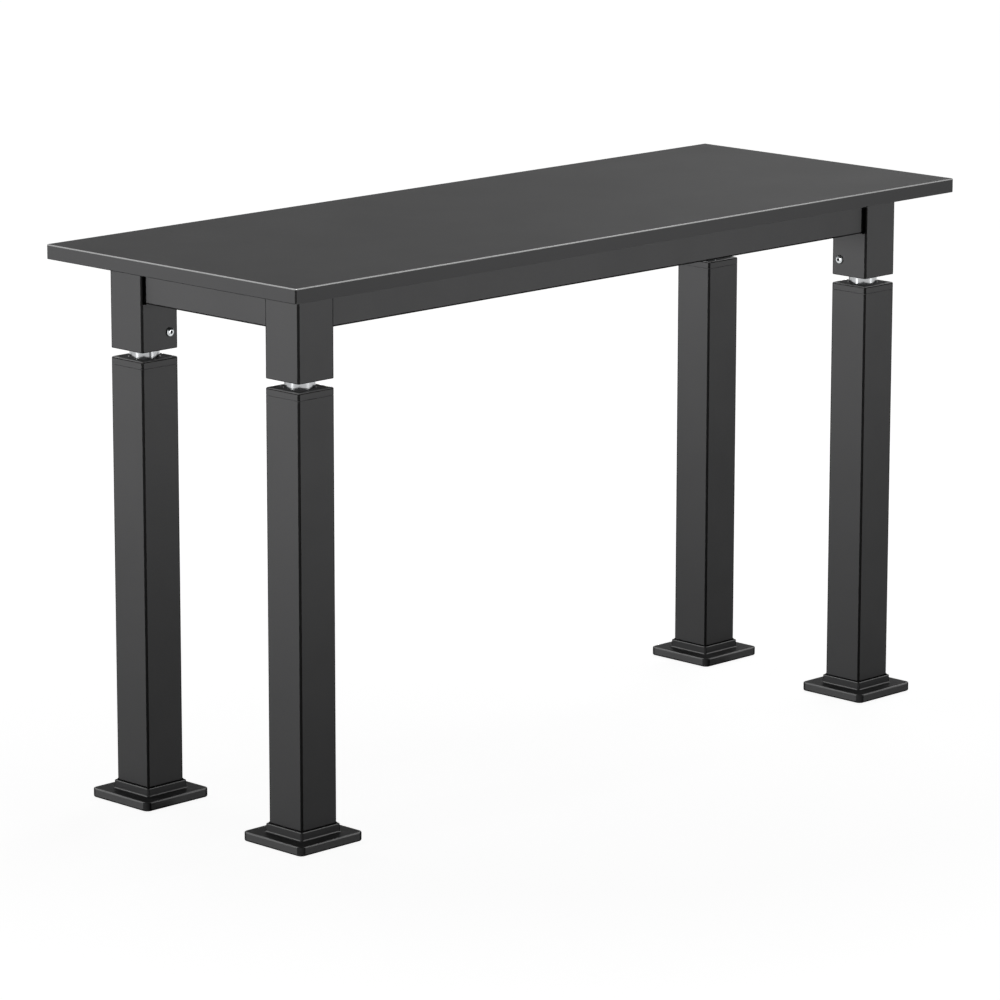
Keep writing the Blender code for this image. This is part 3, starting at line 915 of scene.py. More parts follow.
@dataclass
class Fastener:
    """Button-head screw with a hexagon socket: sizes of head, dome, key, shank and a thin ring round the
    head that carries painted shade.

    The shares are of the dome's height (rim, socket floor), the key (lip, socket) and the head (painted
    shade ring).
    """

    head: float
    dome: float
    key: float
    shank: float
    length: float
    # Radius of a thin ring round the head, painted dark as painted shade; zero for none.
    collar: float = 0.0
    collar_height: float = 0.0006
    rim_least: float = 0.0003
    rim_share: float = 0.16
    floor_share: float = 0.4
    lip_share: float = 0.62
    socket_share: float = 0.59
    washer_share: float = 1.01
    steps: int = 7

    def build(self) -> Piece:
        """Model the screw along Z, underside of the head at zero.

        Returns:
            The screw, shaded, with material places 1 for its socket and 2 for its ring, both for painted
            shade.
        """
        rim = max(self.dome * self.rim_share, self.collar_height + self.rim_least)
        lip = self.key * self.lip_share
        base = max(self.collar, self.head)
        start = self.collar_height if self.collar else rim
        screw = Bench.disc("screw_pattern", base, 0.0, start, count=64)
        # The collar is a thin ring round the head, which carries painted shade.
        if self.collar:
            Bench.grow(screw, faces_up_at(start), base - self.head, (0.0, 0.0, rim - start))
        was, last = rim, self.head
        for step in range(1, self.steps + 1):
            angle = QUARTER_TURN * step / self.steps
            radius = lip + (self.head - lip) * math.cos(angle)
            height = rim + (self.dome - rim) * math.sin(angle)
            Bench.grow(screw, faces_up_at(was), 0.0, (0.0, 0.0, height - was))
            Bench.shrink(screw, faces_up_at(height), radius / last, height)
            was, last = height, radius
        Bench.grow(screw, faces_up_at(0.0), base - self.shank, (0.0, 0.0, -self.length))
        floor = self.dome * self.floor_share
        Bench.carve(screw, Bench.disc("socket", self.key / SQRT_3, floor, self.dome + OVERRUN, count=6))
        Bench.smooth(screw, angle=30.0)
        # Faces inside the socket take place 1, painted shade; faces of the ring round the head take place
        # 2, painted shade.
        for face in screw.data.polygons:
            out = face.center.xy.length
            inside = out < self.key * self.socket_share and face.center.z > 0.0
            face.material_index = 1 if inside else 2 if out > self.head * self.washer_share else 0
        return screw


@dataclass
class Legs:
    """Four telescopic legs: post, column, guide cap, tube, foot and post screws."""

    screw_rise: float = 0.0218
    screw_inset: float = 0.0138
    screw_head: float = 0.0056
    screw_dome: float = 0.0033
    screw_key: float = 0.0035
    screw_shank: float = 0.003
    screw_length: float = 0.0075
    # Radius of the thin ring round each post screw's head, painted dark as painted shade.
    screw_collar: float = 0.0062
    inner_radius: float = 0.0005
    post_edge: float = 0.001
    notch_gap: float = 0.0005
    notch_overrun: float = 0.003
    drill_overrun: float = 0.002
    line_hole: float = 0.004
    line_drill: float = 0.006
    column_radius: float = 0.01925
    column_wall: float = 0.0028
    sleeve: float = 0.120
    sleeve_overlap: float = 0.004
    bush_half: float = 0.027
    bush_radius: float = 0.0015
    cap_bevel: float = 0.0021
    cap_lip: float = 0.001
    cap_rim: float = 0.4
    tube_edge: float = 0.0004
    foot_half: float = 0.0535
    foot_corner: float = 0.0074
    foot_edge: float = 0.0015
    foot_lower: float = 0.0022
    foot_thickness: float = 0.012
    foot_floor: float = 0.006
    collar_top: float = 0.0226
    collar_width: float = 0.0039
    collar_corner: float = 0.0026
    collar_draft: float = 0.0009
    collar_edge: float = 0.001
    collar_fillet: float = 0.0012
    collar_margin: float = 0.001
    collar_lean: float = 0.12
    # Thin lip round the tube atop the collar, painted dark as painted shade where the leg enters the foot.
    lip_width: float = 0.0009
    lip_height: float = 0.0012
    lip_margin: float = 0.0001

    def build(self) -> None:
        """Model each kind of piece once at the origin, then copy it to the four corners."""
        patterns = {
            "post_tube": (self._post(), POWDER, FRAME_BODY, "post_"),
            "column_tube": (self._column(), CHROME, FRAME_BODY, "column_"),
            "cap": (self._cap(), GUIDE, None, "guide_cap_"),
            "tube": (self._tube(), POWDER, None, "leg_tube_"),
            "boot": (self._foot(), FOOT, None, "foot_"),
        }
        for kind, (pattern, finish, body, node) in patterns.items():
            for corner in Corner:
                spot = corner.at(SIZES.leg_x, SIZES.leg_y)
                made = Bench.copy(pattern, "%s_%s" % (kind, corner.tag), corner.turn, spot)
                if kind == "post_tube":
                    self._line_hole(made, corner)
                dress(made, finish, body or "lower_leg_" + corner.tag, node + corner.tag)
                self._dress_edges(kind, made)
            Bench.discard(pattern)
        self._screws()

    def _dress_edges(self, kind: str, made: Piece) -> None:
        """Give a dressed leg piece's rounded edges painted shade, and its cap's upper face painted light
        and upper edge a painted highlight.

        Args:
            kind: kind of piece, as in build.
            made: dressed piece.
        """
        if kind == "post_tube":
            # Painted shade on the post's rounded edges.
            dress_edges(made, POWDER_SHADE_EDGE, slanted)
        elif kind == "tube":
            # Painted shade on the tube's upright rounded edges.
            dress_edges(made, POWDER_SHADE_EDGE, lambda face: slanted(face) and abs(face.normal.z) < LEAN)
        elif kind == "cap":
            # Painted light on the cap's upper face, a painted highlight on its upper edge and painted shade
            # on its side roundings.
            dress_edges(made, GUIDE_LIT_TOP, lambda face: face.normal.z > FLAT)
            dress_edges(made, GUIDE_HIGHLIGHT_EDGE, lambda face: self.cap_rim < face.normal.z < FLAT)
            dress_edges(made, POWDER_SHADE_EDGE, lambda face: slanted(face) and abs(face.normal.z) < self.cap_rim)
        elif kind == "boot":
            self._dress_foot(made)

    def _dress_foot(self, foot: Piece) -> None:
        """Paint a dressed foot: painted light on its level upper faces, painted highlights on its upper
        edges, and painted shade on the collar's sides, the lower edges, the upright corners and the top of
        the collar round the leg.

        Args:
            foot: dressed foot.
        """
        collar, lip, lean = self.foot_thickness + self.collar_margin, self.collar_top, self.collar_lean

        def collar_side(face: Face) -> bool:
            """Tell whether a face is of the collar's drafted sides."""
            return abs(face.normal.z) < lean and face.center.z > collar

        dress_edges(foot, FOOT_LIT_TOP, lambda face: face.normal.z > FLAT)
        dress_edges(foot, FOOT_COLLAR_SHADE, collar_side)
        dress_edges(foot, FOOT_HIGHLIGHT_EDGE, lambda face: lean < face.normal.z < FLAT)
        dress_edges(foot, POWDER_SHADE_EDGE, lambda face: -FLAT < face.normal.z < -lean)
        dress_edges(foot, FOOT_CORNER_SHADE, lambda face: min(abs(face.normal.x), abs(face.normal.y)) > LEAN)
        # Painted shade on the collar's top and on the lip round the leg.
        dress_edges(foot, POWDER_SHADE_EDGE, lambda face: face.center.z > lip - self.lip_margin)

    def _square(self, name: str, half: float, low: float, high: float, radius: float) -> Piece:
        """Model a square bar about the Z axis with rounded upright edges.

        Args:
            name: name of the piece.
            half: half its width.
            low: height of its lower end.
            high: height of its upper end.
            radius: radius of the upright edges.

        Returns:
            The bar.
        """
        bar = Bench.block(name, (-half, -half, low), (half, half, high))
        Bench.round_edges(bar, upright, radius, steps=6)
        return bar

    def _bore(self, low: float, high: float) -> Piece:
        """Model the cutter for the inside of a leg tube between two heights."""
        return self._square("bore", SIZES.inner_half, low - OVERRUN, high + OVERRUN, self.inner_radius)

    def _post(self) -> Piece:
        """Model the front left post: a tube notched for the aprons, with screw holes.

        Returns:
            The post, shaded.
        """
        half, inner = SIZES.leg_half, SIZES.inner_half
        low, high = SIZES.post_bottom, SIZES.under_top - SIZES.fit
        post = self._square("post_pattern", half, low, high, SIZES.leg_radius)
        Bench.round_edges(post, level_at(low), self.post_edge, steps=3)
        Bench.carve(post, self._bore(low, high))
        floor, roof = SIZES.apron_bottom - SIZES.fit, high + OVERRUN
        edge = half - SIZES.apron_recess - SIZES.apron_depth - self.notch_gap
        start, end = inner - self.notch_overrun, half + self.notch_overrun
        Bench.carve(post, Bench.block("notch", (start, -inner, floor), (end, -edge, roof)))
        Bench.carve(post, Bench.block("notch", (-inner, start, floor), (-edge, end, roof)))
        rise, off = low + self.screw_rise, half - self.screw_inset
        hole = self.screw_shank + HOLE_CLEARANCE
        start, end = inner - self.drill_overrun, half + self.drill_overrun
        Bench.carve(post, Bench.disc("drill", hole, start, end, (0.0, off, rise), Axis.X, count=48))
        Bench.carve(post, Bench.disc("drill", hole, start, end, (off, 0.0, rise), Axis.Y, count=48))
        Bench.smooth(post)
        return post

    def _line_hole(self, post: Piece, corner: Corner) -> None:
        """Drill a placed post for its oil line, through the face that looks along X to the middle.

        Args:
            post: placed post.
            corner: its corner.
        """
        spot = corner.at(SIZES.leg_x - SIZES.leg_half, SIZES.leg_y - SIZES.line_offset,
                         SIZES.under_top - SIZES.line_drop)
        reach = self.line_drill
        Bench.carve(post, Bench.disc("drill", self.line_hole, -reach, reach, spot, Axis.X, count=48))
        Bench.smooth(post)

    def _column(self) -> Piece:
        """Model the chromed column tube.

        Returns:
            The column, shaded.
        """
        low, high = (corner.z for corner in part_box("column_front_left"))
        column = Bench.disc("column_pattern", self.column_radius, low, high, count=160)
        inner = self.column_radius - self.column_wall
        Bench.carve(column, Bench.disc("bore", inner, low - OVERRUN, high + OVERRUN, count=160))
        Bench.smooth(column)
        return column

    def _cap(self) -> Piece:
        """Model the guide cap: a square head on a long sleeve, bored for the column.

        Returns:
            The cap, shaded.
        """
        half, top, seam = SIZES.leg_half, SIZES.cap_top, SIZES.seam
        cap = self._square("cap_pattern", half, seam, top, SIZES.leg_radius)
        Bench.round_edges(cap, level_at(top), self.cap_bevel, steps=6)
        low = seam - self.sleeve
        sleeve = self._square("sleeve", self.bush_half, low, seam + self.sleeve_overlap, self.bush_radius)
        Bench.carve(cap, sleeve, join=True)
        radius = self.column_radius + SIZES.slide
        Bench.carve(cap, Bench.disc("bore", radius, low - OVERRUN, top + OVERRUN, count=160))

        def bore_edge(a: Vector, b: Vector) -> bool:
            """Tell whether an edge is the bore's upper one."""
            return level_at(top)(a, b) and max(a.xy.length, b.xy.length) < radius + NEAR

        Bench.round_edges(cap, bore_edge, self.cap_lip, steps=3)
        Bench.smooth(cap)
        return cap

    def _tube(self) -> Piece:
        """Model the lower leg tube.

        Returns:
            The tube, shaded.
        """
        low, high = self.foot_floor + SIZES.fit, SIZES.seam - SIZES.fit
        tube = self._square("tube_pattern", SIZES.leg_half, low, high, SIZES.leg_radius)
        Bench.round_edges(tube, level_at(high), self.tube_edge, steps=2)
        Bench.carve(tube, self._bore(low, high))
        Bench.smooth(tube)
        return tube

    def _foot(self) -> Piece:
        """Model the moulded foot: a flange, a drafted collar with a lip that carries painted shade, and a
        pocket for the tube.

        Returns:
            The foot, shaded.
        """
        floor, flange, top = self.foot_floor, self.foot_thickness, self.collar_top
        foot = self._square("foot_pattern", self.foot_half, 0.0, flange, self.foot_corner)
        Bench.round_edges(foot, level_at(0.0), self.foot_lower, steps=5)
        Bench.round_edges(foot, level_at(flange), self.foot_edge, steps=5)
        wall = SIZES.leg_half + self.collar_width
        collar = self._square("collar", wall, floor, top, self.collar_corner)
        Bench.shrink(collar, faces_up_at(top), (wall - self.collar_draft) / wall, top)
        Bench.round_edges(collar, level_at(top), self.collar_edge, steps=3)
        Bench.carve(foot, collar, join=True)
        reach = wall + self.collar_margin

        def collar_base(a: Vector, b: Vector) -> bool:
            """Tell whether an edge is where the collar leaves the flange."""
            inside = max(abs(a.x), abs(a.y), abs(b.x), abs(b.y)) < reach
            return inside and level_at(flange)(a, b)

        Bench.round_edges(foot, collar_base, self.collar_fillet, steps=4)
        half, radius, fit = SIZES.leg_half, SIZES.leg_radius, SIZES.fit
        # The lip is a thin bead painted dark as painted shade round the leg.
        hug = fit + self.lip_width
        lip = self._square("lip", half + hug, floor, top + self.lip_height, radius + hug)
        Bench.carve(foot, lip, join=True)
        Bench.carve(foot, self._square("pocket", half + fit, floor, top + OVERRUN, radius + fit))
        Bench.smooth(foot)
        return foot

    def _screws(self) -> None:
        """Set two screws in the inner faces of each post."""
        pattern = Fastener(self.screw_head, self.screw_dome, self.screw_key, self.screw_shank,
                           self.screw_length, self.screw_collar).build()
        face, off = SIZES.leg_half + SIZES.fit, SIZES.leg_half - self.screw_inset
        rise = SIZES.post_bottom + self.screw_rise
        for corner in Corner:
            sign_x, sign_y, _ = corner.value
            side = corner.at(SIZES.leg_x - face, SIZES.leg_y - off, rise)
            end = corner.at(SIZES.leg_x - off, SIZES.leg_y - face, rise)
            for kind, spot, turn in (("side", side, (0.0, -sign_x * QUARTER_TURN, 0.0)),
                                     ("end", end, (sign_y * QUARTER_TURN, 0.0, 0.0))):
                made = Bench.copy(pattern, "button_screw_%s_%s" % (kind, corner.tag), turn, spot)
                dress(made, SCREW, FRAME_BODY, "post_screw_%s_%s" % (kind, corner.tag))
                # The socket and the ring round the head take painted shade.
                for finish in (PAINTED_SHADE_SOCKET, SHADE_RING):
                    made.data.materials.append(finish.material())
        Bench.discard(pattern)


@dataclass
class TopFixings:
    """Bent angle brackets on the long aprons, with the screws that hold the worktop."""

    width: float = 0.040
    reach: float = 0.024
    sheet: float = 0.0025
    spread: float = 0.245
    corner: float = 0.004
    bend: float = 0.0035
    inner_bend: float = 0.001
    drill_overrun: float = 0.004
    shank: float = 0.00225
    head: float = 0.0045
    dome: float = 0.0028
    key: float = 0.003
    bite: float = 0.011
    rivet: float = 0.0028
    rivet_height: float = 0.0012
    rivet_round: float = 0.0009
    rivet_spread: float = 0.28
    rivet_drop: float = 0.62

    def build(self) -> None:
        """Model one bracket, one screw and one rivet, and copy them to the four places."""
        wall = SIZES.apron_out_y - SIZES.apron_depth - SIZES.fit
        under = SIZES.under_top - 2 * SIZES.fit - self.sheet
        length = SIZES.under_top + self.bite - under
        rivet_z = SIZES.under_top - self.reach * self.rivet_drop
        bracket = self._bracket(wall)
        screw = Fastener(self.head, self.dome, self.key, self.shank, length).build()
        rivet = self._rivet()
        for row, sign, turn in (("front", -1, ORIGIN), ("back", 1, (0.0, 0.0, HALF_TURN))):
            for side, x in (("left", -self.spread), ("right", self.spread)):
                tag = "%s_%s" % (row, side)
                made = Bench.copy(bracket, "angle_bracket_" + tag, turn, (x, 0.0, 0.0))
                dress(made, POWDER, FRAME_BODY, "top_bracket_" + tag)
                spot = (x, sign * (wall - self.reach / 2), under)
                made = Bench.copy(screw, "worktop_screw_" + tag, (HALF_TURN, 0.0, 0.0), spot)
                dress(made, STEEL, FRAME_BODY, "top_screw_" + tag)
                # The socket takes painted shade.
                made.data.materials.append(PAINTED_SHADE_SOCKET.material())
                for letter, step in (("a", -1), ("b", 1)):
                    spot = (x + step * self.width * self.rivet_spread, sign * (wall - self.sheet), rivet_z)
                    made = Bench.copy(rivet, "bracket_rivet_%s_%s" % (tag, letter),
                                      (sign * QUARTER_TURN, 0.0, 0.0), spot)
                    dress(made, STEEL, FRAME_BODY)
        for pattern in (bracket, screw, rivet):
            Bench.discard(pattern)

    def _bracket(self, wall: float) -> Piece:
        """Model the front bracket at x = 0 from two joined sheets.

        Args:
            wall: distance of the apron's inner face from the middle.

        Returns:
            The bracket, shaded.
        """
        half, high = self.width / 2, SIZES.under_top - SIZES.fit
        low, fold, inner = high - self.reach, high - self.sheet, -wall + self.reach
        plate = Bench.block("bracket_pattern", (-half, -wall, fold), (half, inner, high))
        flap = Bench.block("flap", (-half, -wall, low), (half, -wall + self.sheet, high))

        def plate_corner(a: Vector, b: Vector) -> bool:
            """Tell whether an edge stands at a corner away from the apron."""
            return upright(a, b) and a.y > -wall + self.sheet

        def flap_corner(a: Vector, b: Vector) -> bool:
            """Tell whether an edge crosses the sheet at a lower corner."""
            return abs(a.y - b.y) > self.sheet / 2 and level_at(low)(a, b)

        def outer_fold(a: Vector, b: Vector) -> bool:
            """Tell whether an edge is the outside of the bend."""
            return level_at(high)(a, b) and max(a.y, b.y) < -wall + NEAR

        def inner_fold(a: Vector, b: Vector) -> bool:
            """Tell whether an edge is the inside of the bend."""
            return level_at(fold)(a, b) and max(abs(v.y + wall - self.sheet) for v in (a, b)) < NEAR

        Bench.round_edges(plate, plate_corner, self.corner, steps=5)
        Bench.round_edges(flap, flap_corner, self.corner, steps=5)
        Bench.carve(plate, flap, join=True)
        Bench.flatten(plate)
        Bench.round_edges(plate, outer_fold, self.bend, steps=6)
        Bench.round_edges(plate, inner_fold, self.inner_bend, steps=3)
        drill = Bench.disc("drill", self.shank + HOLE_CLEARANCE, fold - self.drill_overrun,
                           high + self.drill_overrun, (0.0, -wall + self.reach / 2, 0.0), count=40)
        Bench.carve(plate, drill)
        Bench.smooth(plate)
        return plate

    def _rivet(self) -> Piece:
        """Model a flat domed rivet head along Z, seated at zero.

        Returns:
            The rivet, shaded.
        """
        rivet = Bench.disc("rivet_pattern", self.rivet, 0.0, self.rivet_height, count=40)
        Bench.round_edges(rivet, level_at(self.rivet_height), self.rivet_round, steps=5)
        Bench.smooth(rivet)
        return rivet


@dataclass
class Pump:
    """Cast hand pump under the right end, its drive shaft, and the oil lines to the legs."""

    left: float = 0.4075
    right: float = 0.5175
    half_width: float = 0.07
    height: float = 0.040
    corner: float = 0.006
    end_rim: float = 0.006
    end_recess: float = 0.003
    boss: float = 0.0125
    boss_proud: float = 0.003
    boss_root: float = 0.004
    port_shares: Pair = (0.25, 0.55)
    port_boss: float = 0.0085
    port_proud: float = 0.002
    port_inset: float = 0.003
    port_drill: float = 0.006
    cover: float = 0.0045
    cover_rim: float = 0.0015
    cover_gap: float = 0.0002
    cover_edge: float = 0.0006
    recess_inset: float = 0.0175
    recess_depth: float = 0.0012
    recess_corner: float = 0.004
    cover_screw_inset: float = 0.0095
    shaft: float = 0.006
    shaft_depth: float = 0.030
    shaft_gap: float = 0.001
    shaft_proud: float = 0.012
    hex_length: float = 0.016
    hex_across: float = 0.010
    hex_root: float = 0.002
    hex_edge: float = 0.0008
    line: float = 0.003
    line_bend: float = 0.012
    line_entry: float = 0.006
    nut_across: float = 0.013
    nut_height: float = 0.009
    nut_flats: float = 0.7
    nut_edge: float = 0.0006
    nut_gap: float = 0.0001
    nut_lift: float = 0.006
    shoulder_radius: float = 0.42
    shoulder_start: float = 0.5
    shoulder_round: float = 0.0012

    def build(self) -> None:
        """Model the pump and its lines and dress them."""
        self._body()
        self._cover()
        self._shaft()
        self._lines()

    @property
    def line_height(self) -> float:
        """Height of the level runs of the oil lines."""
        return SIZES.under_top - SIZES.line_drop

    @property
    def line_start(self) -> float:
        """Height of the lines' lower ends."""
        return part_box("oil_line_front_left")[0].z

    def port(self, sign_x: int) -> float:
        """Place along X of the ports for the left or right legs."""
        return self.left + (self.right - self.left) * self.port_shares[sign_x > 0]

    def _body(self) -> None:
        """Model the casting: a block with bosses for the shaft and the four ports."""
        high = SIZES.under_top - SIZES.fit
        low = high - self.height + self.cover
        axle = (self.right, 0.0, SIZES.apron_middle)
        ports = [(self.port(sign_x), sign_y) for sign_x in (-1, 1) for sign_y in (-1, 1)]
        body = Bench.block("pump_casting_block", (self.left, -self.half_width, low),
                           (self.right, self.half_width, high))
        Bench.round_edges(body, upright, self.corner, steps=6)
        recess = (self.end_recess, 0.0, 0.0)
        Bench.grow(body, lambda middle, normal: normal.x < -FACING, self.end_rim, recess)
        boss = Bench.disc("boss", self.boss, -self.boss_root, self.boss_proud, axle, Axis.X, count=72)
        Bench.carve(body, boss, join=True)
        for x, sign_y in ports:
            spot = (x, sign_y * self.half_width, self.line_height)
            proud = self.port_proud
            boss = Bench.disc("boss", self.port_boss, -proud, proud, spot, Axis.Y, count=48)
            Bench.carve(body, boss, join=True)
        hole = self.shaft + SIZES.slide
        Bench.carve(body, Bench.disc("bore", hole, -self.shaft_depth, OVERRUN, axle, Axis.X, count=72))
        for x, sign_y in ports:
            spot = (x, sign_y * (self.half_width - self.port_inset), self.line_height)
            hole, reach = self.line + SIZES.slide, self.port_drill
            Bench.carve(body, Bench.disc("port", hole, -reach, reach, spot, Axis.Y, count=40))
        Bench.smooth(body)
        dress(body, CASTING, FRAME_BODY, "pump_body")

    def _plate(self, name: str, inset: float, low: float, high: float, radius: float) -> Piece:
        """Model a plate under the pump, set in from its sides, with rounded upright edges.

        Args:
            name: name of the piece.
            inset: distance from the pump's sides.
            low: height of its lower face.
            high: height of its upper face.
            radius: radius of the upright edges.

        Returns:
            The plate.
        """
        plate = Bench.block(name, (self.left + inset, -self.half_width + inset, low),
                            (self.right - inset, self.half_width - inset, high))
        Bench.round_edges(plate, upright, radius, steps=6)
        return plate

    def _cover(self) -> None:
        """Model the lower cover plate with its row of screws."""
        low = SIZES.under_top - SIZES.fit - self.height
        plate = self._plate("pump_cover_plate", self.cover_rim, low, low + self.cover - self.cover_gap,
                            self.corner)
        Bench.carve(plate, self._plate("recess", self.recess_inset, low - OVERRUN, low + self.recess_depth,
                                       self.recess_corner))
        Bench.ease(plate, self.cover_edge)
        Bench.smooth(plate)
        dress(plate, CASTING, FRAME_BODY)
        screw = Fastener(head=0.0036, dome=0.0022, key=0.0025, shank=0.0018, length=0.004).build()
        middle = (self.left + self.right) / 2
        reach_x = (self.right - self.left) / 2 - self.cover_screw_inset
        reach_y = self.half_width - self.cover_screw_inset
        spots = [(middle + x, y, low) for y in (-reach_y, 0.0, reach_y) for x in (-reach_x, reach_x)]
        for count, spot in enumerate(spots):
            made = Bench.copy(screw, "cover_screw_%d" % count, (HALF_TURN, 0.0, 0.0), spot)
            dress(made, STEEL, FRAME_BODY)
            # The socket takes painted shade.
            made.data.materials.append(PAINTED_SHADE_SOCKET.material())
        Bench.discard(screw)

    def _shaft(self) -> None:
        """Model the drive shaft with its hexagon end."""
        start = self.right - self.shaft_depth + self.shaft_gap
        tip = SIZES.apron_out_x + self.shaft_proud
        neck = tip - self.hex_length
        spot = (0.0, 0.0, SIZES.apron_middle)
        shaft = Bench.disc("drive_shaft", self.shaft, start, neck, spot, Axis.X, count=72)
        hex_radius = self.hex_across / SQRT_3
        stud = Bench.disc("stud", hex_radius, neck - self.hex_root, tip, spot, Axis.X, count=6)
        Bench.round_edges(stud, lambda a, b: min(a.x, b.x) > tip - NEAR, self.hex_edge, steps=2)
        Bench.carve(shaft, stud, join=True)
        Bench.smooth(shaft, angle=25.0)
        dress(shaft, STEEL, "pump_shaft", "pump_drive_shaft")

    def _nut(self) -> Piece:
        """Model a union nut along Z, seated at zero, with a round shoulder.

        Returns:
            The nut, shaded.
        """
        across, high = self.nut_across, self.nut_height
        nut = Bench.disc("nut_pattern", across / SQRT_3, 0.0, high * self.nut_flats, count=6)
        Bench.ease(nut, self.nut_edge)
        shoulder = Bench.disc("shoulder", across * self.shoulder_radius, high * self.shoulder_start, high,
                              count=48)
        Bench.round_edges(shoulder, level_at(high), self.shoulder_round, steps=4)
        Bench.carve(nut, shoulder, join=True)
        Bench.carve(nut, Bench.disc("bore", self.line + self.nut_gap, -OVERRUN, high + OVERRUN, count=48))
        Bench.smooth(nut, angle=30.0)
        return nut

    def _lines(self) -> None:
        """Draw the four oil lines, with a nut at each end."""
        pattern = self._nut()
        start, high = self.line_start, self.line_height
        for corner in Corner:
            sign_x, sign_y, _ = corner.value
            x, y, _ = corner.at(SIZES.leg_x - SIZES.line_offset, SIZES.leg_y - SIZES.line_offset)
            port = self.port(sign_x)
            path = [(x, y, start), (x, y, high), (port, y, high),
                    (port, sign_y * (self.half_width - self.line_entry), high)]
            pipe = Bench.pipe("steel_line_" + corner.tag, path, self.line, self.line_bend)
            Bench.smooth(pipe)
            dress(pipe, STEEL, FRAME_BODY, "oil_line_" + corner.tag)
            for name, turn, spot in (
                ("port_nut_", (-sign_y * QUARTER_TURN, 0.0, 0.0),
                 (port, sign_y * (self.half_width + self.port_proud), high)),
                ("socket_nut_", ORIGIN, (x, y, start + self.nut_lift)),
            ):
                dress(Bench.copy(pattern, name + corner.tag, turn, spot), STEEL, FRAME_BODY)
        Bench.discard(pattern)


@dataclass
class Hidden:
    """CAD nodes inside the legs that keep their own shape."""

    finishes: Dict[str, Finish] = field(default_factory=lambda: {
        "column_socket_": STEEL, "piston_rod_": STEEL, "guide_ring_": GUIDE})

    def dress(self) -> None:
        """Give each kept node its finish."""
        for name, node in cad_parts.items():
            for start, finish in self.finishes.items():
                if name.startswith(start):
                    node.data.materials.clear()
                    node.data.materials.append(finish.material())
                    LOG.info("%s: kept CAD node, %s", name, finish.name)


@dataclass
class Softbox:
    """One soft lamp: where it stands, what it looks at, its size and power."""

    name: str
    place: Triple
    target: Triple
    width: float
    height: float
    power: float
    spread: float = 180.0

    def light(self) -> None:
        """Set up the lamp, unseen by the camera."""
        lamp = bpy.data.lights.new(self.name, "AREA")
        lamp.shape = "RECTANGLE"
        lamp.size = self.width
        lamp.size_y = self.height
        lamp.energy = self.power
        lamp.spread = math.radians(self.spread)
        made = bpy.data.objects.new(self.name, lamp)
        made.location = self.place
        made.rotation_euler = (Vector(self.target) - Vector(self.place)).to_track_quat("-Z", "Y").to_euler()
        made.visible_camera = False
        bpy.context.scene.collection.objects.link(made)


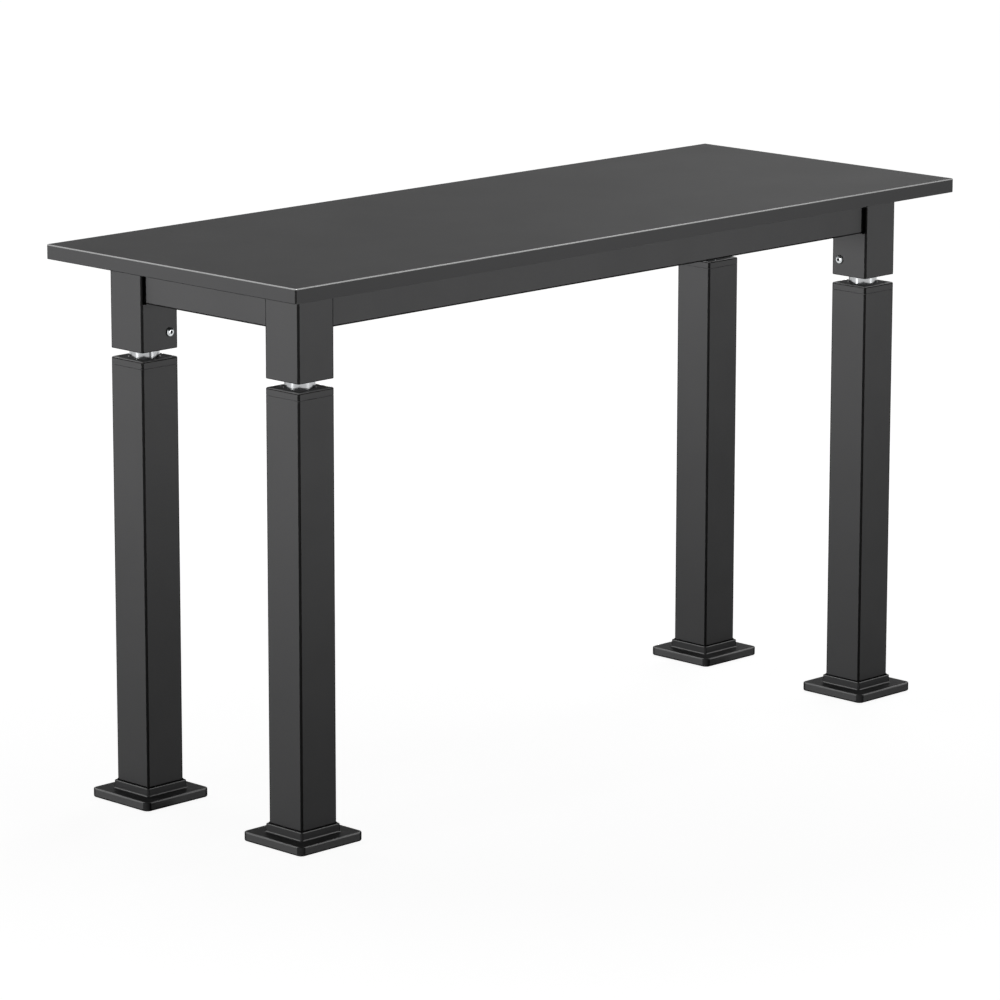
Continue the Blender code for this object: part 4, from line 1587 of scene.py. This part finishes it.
@dataclass
class Studio:
    """White floor and surroundings, soft lamps, and the camera."""

    lens: float = 182.865
    place: Triple = (-4.66958, -4.58102, 1.76917)
    turn: Triple = (77.5835, -0.07796, -45.3276)
    ambient: float = 0.04
    floor_size: float = 60.0
    floor_drop: float = 0.0006
    floor_tone: float = 0.15
    floor_shade: float = 0.5
    # Glow of the floor near the table, below white: painted shade round the table.
    glow_near: float = 0.93
    glow_from: float = 0.7
    glow_to: float = 1.6
    lamps: List[Softbox] = field(default_factory=lambda: [
        Softbox("left_strip", (-19.7, 3.47, 0.6), (-0.3, 0.62, 1.1), 4.2, 1.2, 33.5, 8.5),
        Softbox("right_strip", (3.71, -11.41, 0.55), (-0.2, 0.0, 1.15), 2.4, 1.1, 9.9, 12.3),
        Softbox("back_high", (0.0, 2.3, 2.9), (0.0, 0.0, 0.7), 2.4, 0.8, 5.6),
        Softbox("right_high", (2.2, 0.0, 2.9), (0.0, 0.0, 0.7), 1.8, 0.8, 7.2),
        Softbox("back_strip", (8.5, 8.5, 0.28), (0.0, 0.0, 0.75), 4.2, 0.4, 4.0, 6.0),
        Softbox("end_soft", (1.6, 0.8, 1.6), (0.5, 0.1, 0.7), 0.7, 0.7, 2.5),
    ])

    def build(self) -> None:
        """Set up everything round the table."""
        bpy.context.scene.view_settings.view_transform = "Standard"
        self._camera()
        self._world()
        self._floor()
        for lamp in self.lamps:
            lamp.light()

    def _camera(self) -> None:
        """Place the camera at the photograph's view."""
        data = bpy.data.cameras.new("camera")
        data.sensor_width = 36.0
        data.lens = self.lens
        data.clip_start = 0.1
        data.clip_end = 200.0
        camera = bpy.data.objects.new("camera", data)
        camera.location = self.place
        camera.rotation_euler = tuple(math.radians(a) for a in self.turn)
        bpy.context.scene.collection.objects.link(camera)
        bpy.context.scene.camera = camera

    @staticmethod
    def _seen(nodes: Nodes) -> Socket:
        """Socket that is 1 for camera, glossy and transmission rays.

        Args:
            nodes: node tree to add it to.

        Returns:
            The socket.
        """
        path = nodes.add("ShaderNodeLightPath")
        first = nodes.add("ShaderNodeMath", operation="MAXIMUM")
        nodes.link(path.outputs["Is Camera Ray"], first.inputs[0])
        nodes.link(path.outputs["Is Glossy Ray"], first.inputs[1])
        second = nodes.add("ShaderNodeMath", operation="MAXIMUM")
        nodes.link(first.outputs[0], second.inputs[0])
        nodes.link(path.outputs["Is Transmission Ray"], second.inputs[1])
        return second.outputs[0]

    def _world(self) -> None:
        """White where it is seen, dim where it lights."""
        world = bpy.data.worlds.new("studio")
        bpy.context.scene.world = world
        world.use_nodes = True
        nodes = Nodes(world.node_tree)
        background = world.node_tree.nodes["Background"]
        background.inputs["Color"].default_value = (1.0, 1.0, 1.0, 1.0)
        strength = nodes.spread(self._seen(nodes), self.ambient, 1.0, 0.0, 1.0)
        nodes.link(strength, background.inputs["Strength"])

    def _floor(self) -> None:
        """Large pale floor that looks white and keeps a faint shadow; its glow is dimmer near the table, a
        painted darkening round it.
        """
        Bench.clear()
        bpy.ops.mesh.primitive_plane_add(size=self.floor_size, location=(0.0, 0.0, -self.floor_drop))
        floor = bpy.context.object
        floor.name = "studio_floor"
        Bench.settle(floor)
        look = bpy.data.materials.new("pale_floor")
        look.use_nodes = True
        tree = look.node_tree
        nodes = Nodes(tree)
        tree.nodes.remove(tree.nodes["Principled BSDF"])
        dim = nodes.add("ShaderNodeBsdfDiffuse", Color=(self.floor_tone,) * 3 + (1.0,))
        shade = nodes.add("ShaderNodeBsdfDiffuse", Color=(self.floor_shade,) * 3 + (1.0,))
        glow = nodes.add("ShaderNodeEmission", Color=(1.0, 1.0, 1.0, 1.0))
        spot = nodes.add("ShaderNodeTexCoord")
        far = nodes.add("ShaderNodeVectorMath", operation="LENGTH")
        nodes.link(spot.outputs["Object"], far.inputs[0])
        white = nodes.spread(far.outputs["Value"], self.glow_near, 1.0, self.glow_from, self.glow_to)
        nodes.link(white, glow.inputs["Strength"])
        both = nodes.add("ShaderNodeAddShader")
        nodes.link(glow.outputs[0], both.inputs[0])
        nodes.link(shade.outputs[0], both.inputs[1])
        mix = nodes.add("ShaderNodeMixShader")
        nodes.link(self._seen(nodes), mix.inputs[0])
        nodes.link(dim.outputs[0], mix.inputs[1])
        nodes.link(both.outputs[0], mix.inputs[2])
        nodes.link(mix.outputs[0], tree.nodes["Material Output"].inputs["Surface"])
        floor.data.materials.append(look)


def main() -> None:
    """Build the studio and every sub-assembly in order."""
    logging.basicConfig(level=logging.INFO, format="%(message)s")
    Studio().build()
    Worktop().build()
    Aprons().build()
    Legs().build()
    TopFixings().build()
    Pump().build()
    Hidden().dress()


if __name__ == "__main__":
    main()
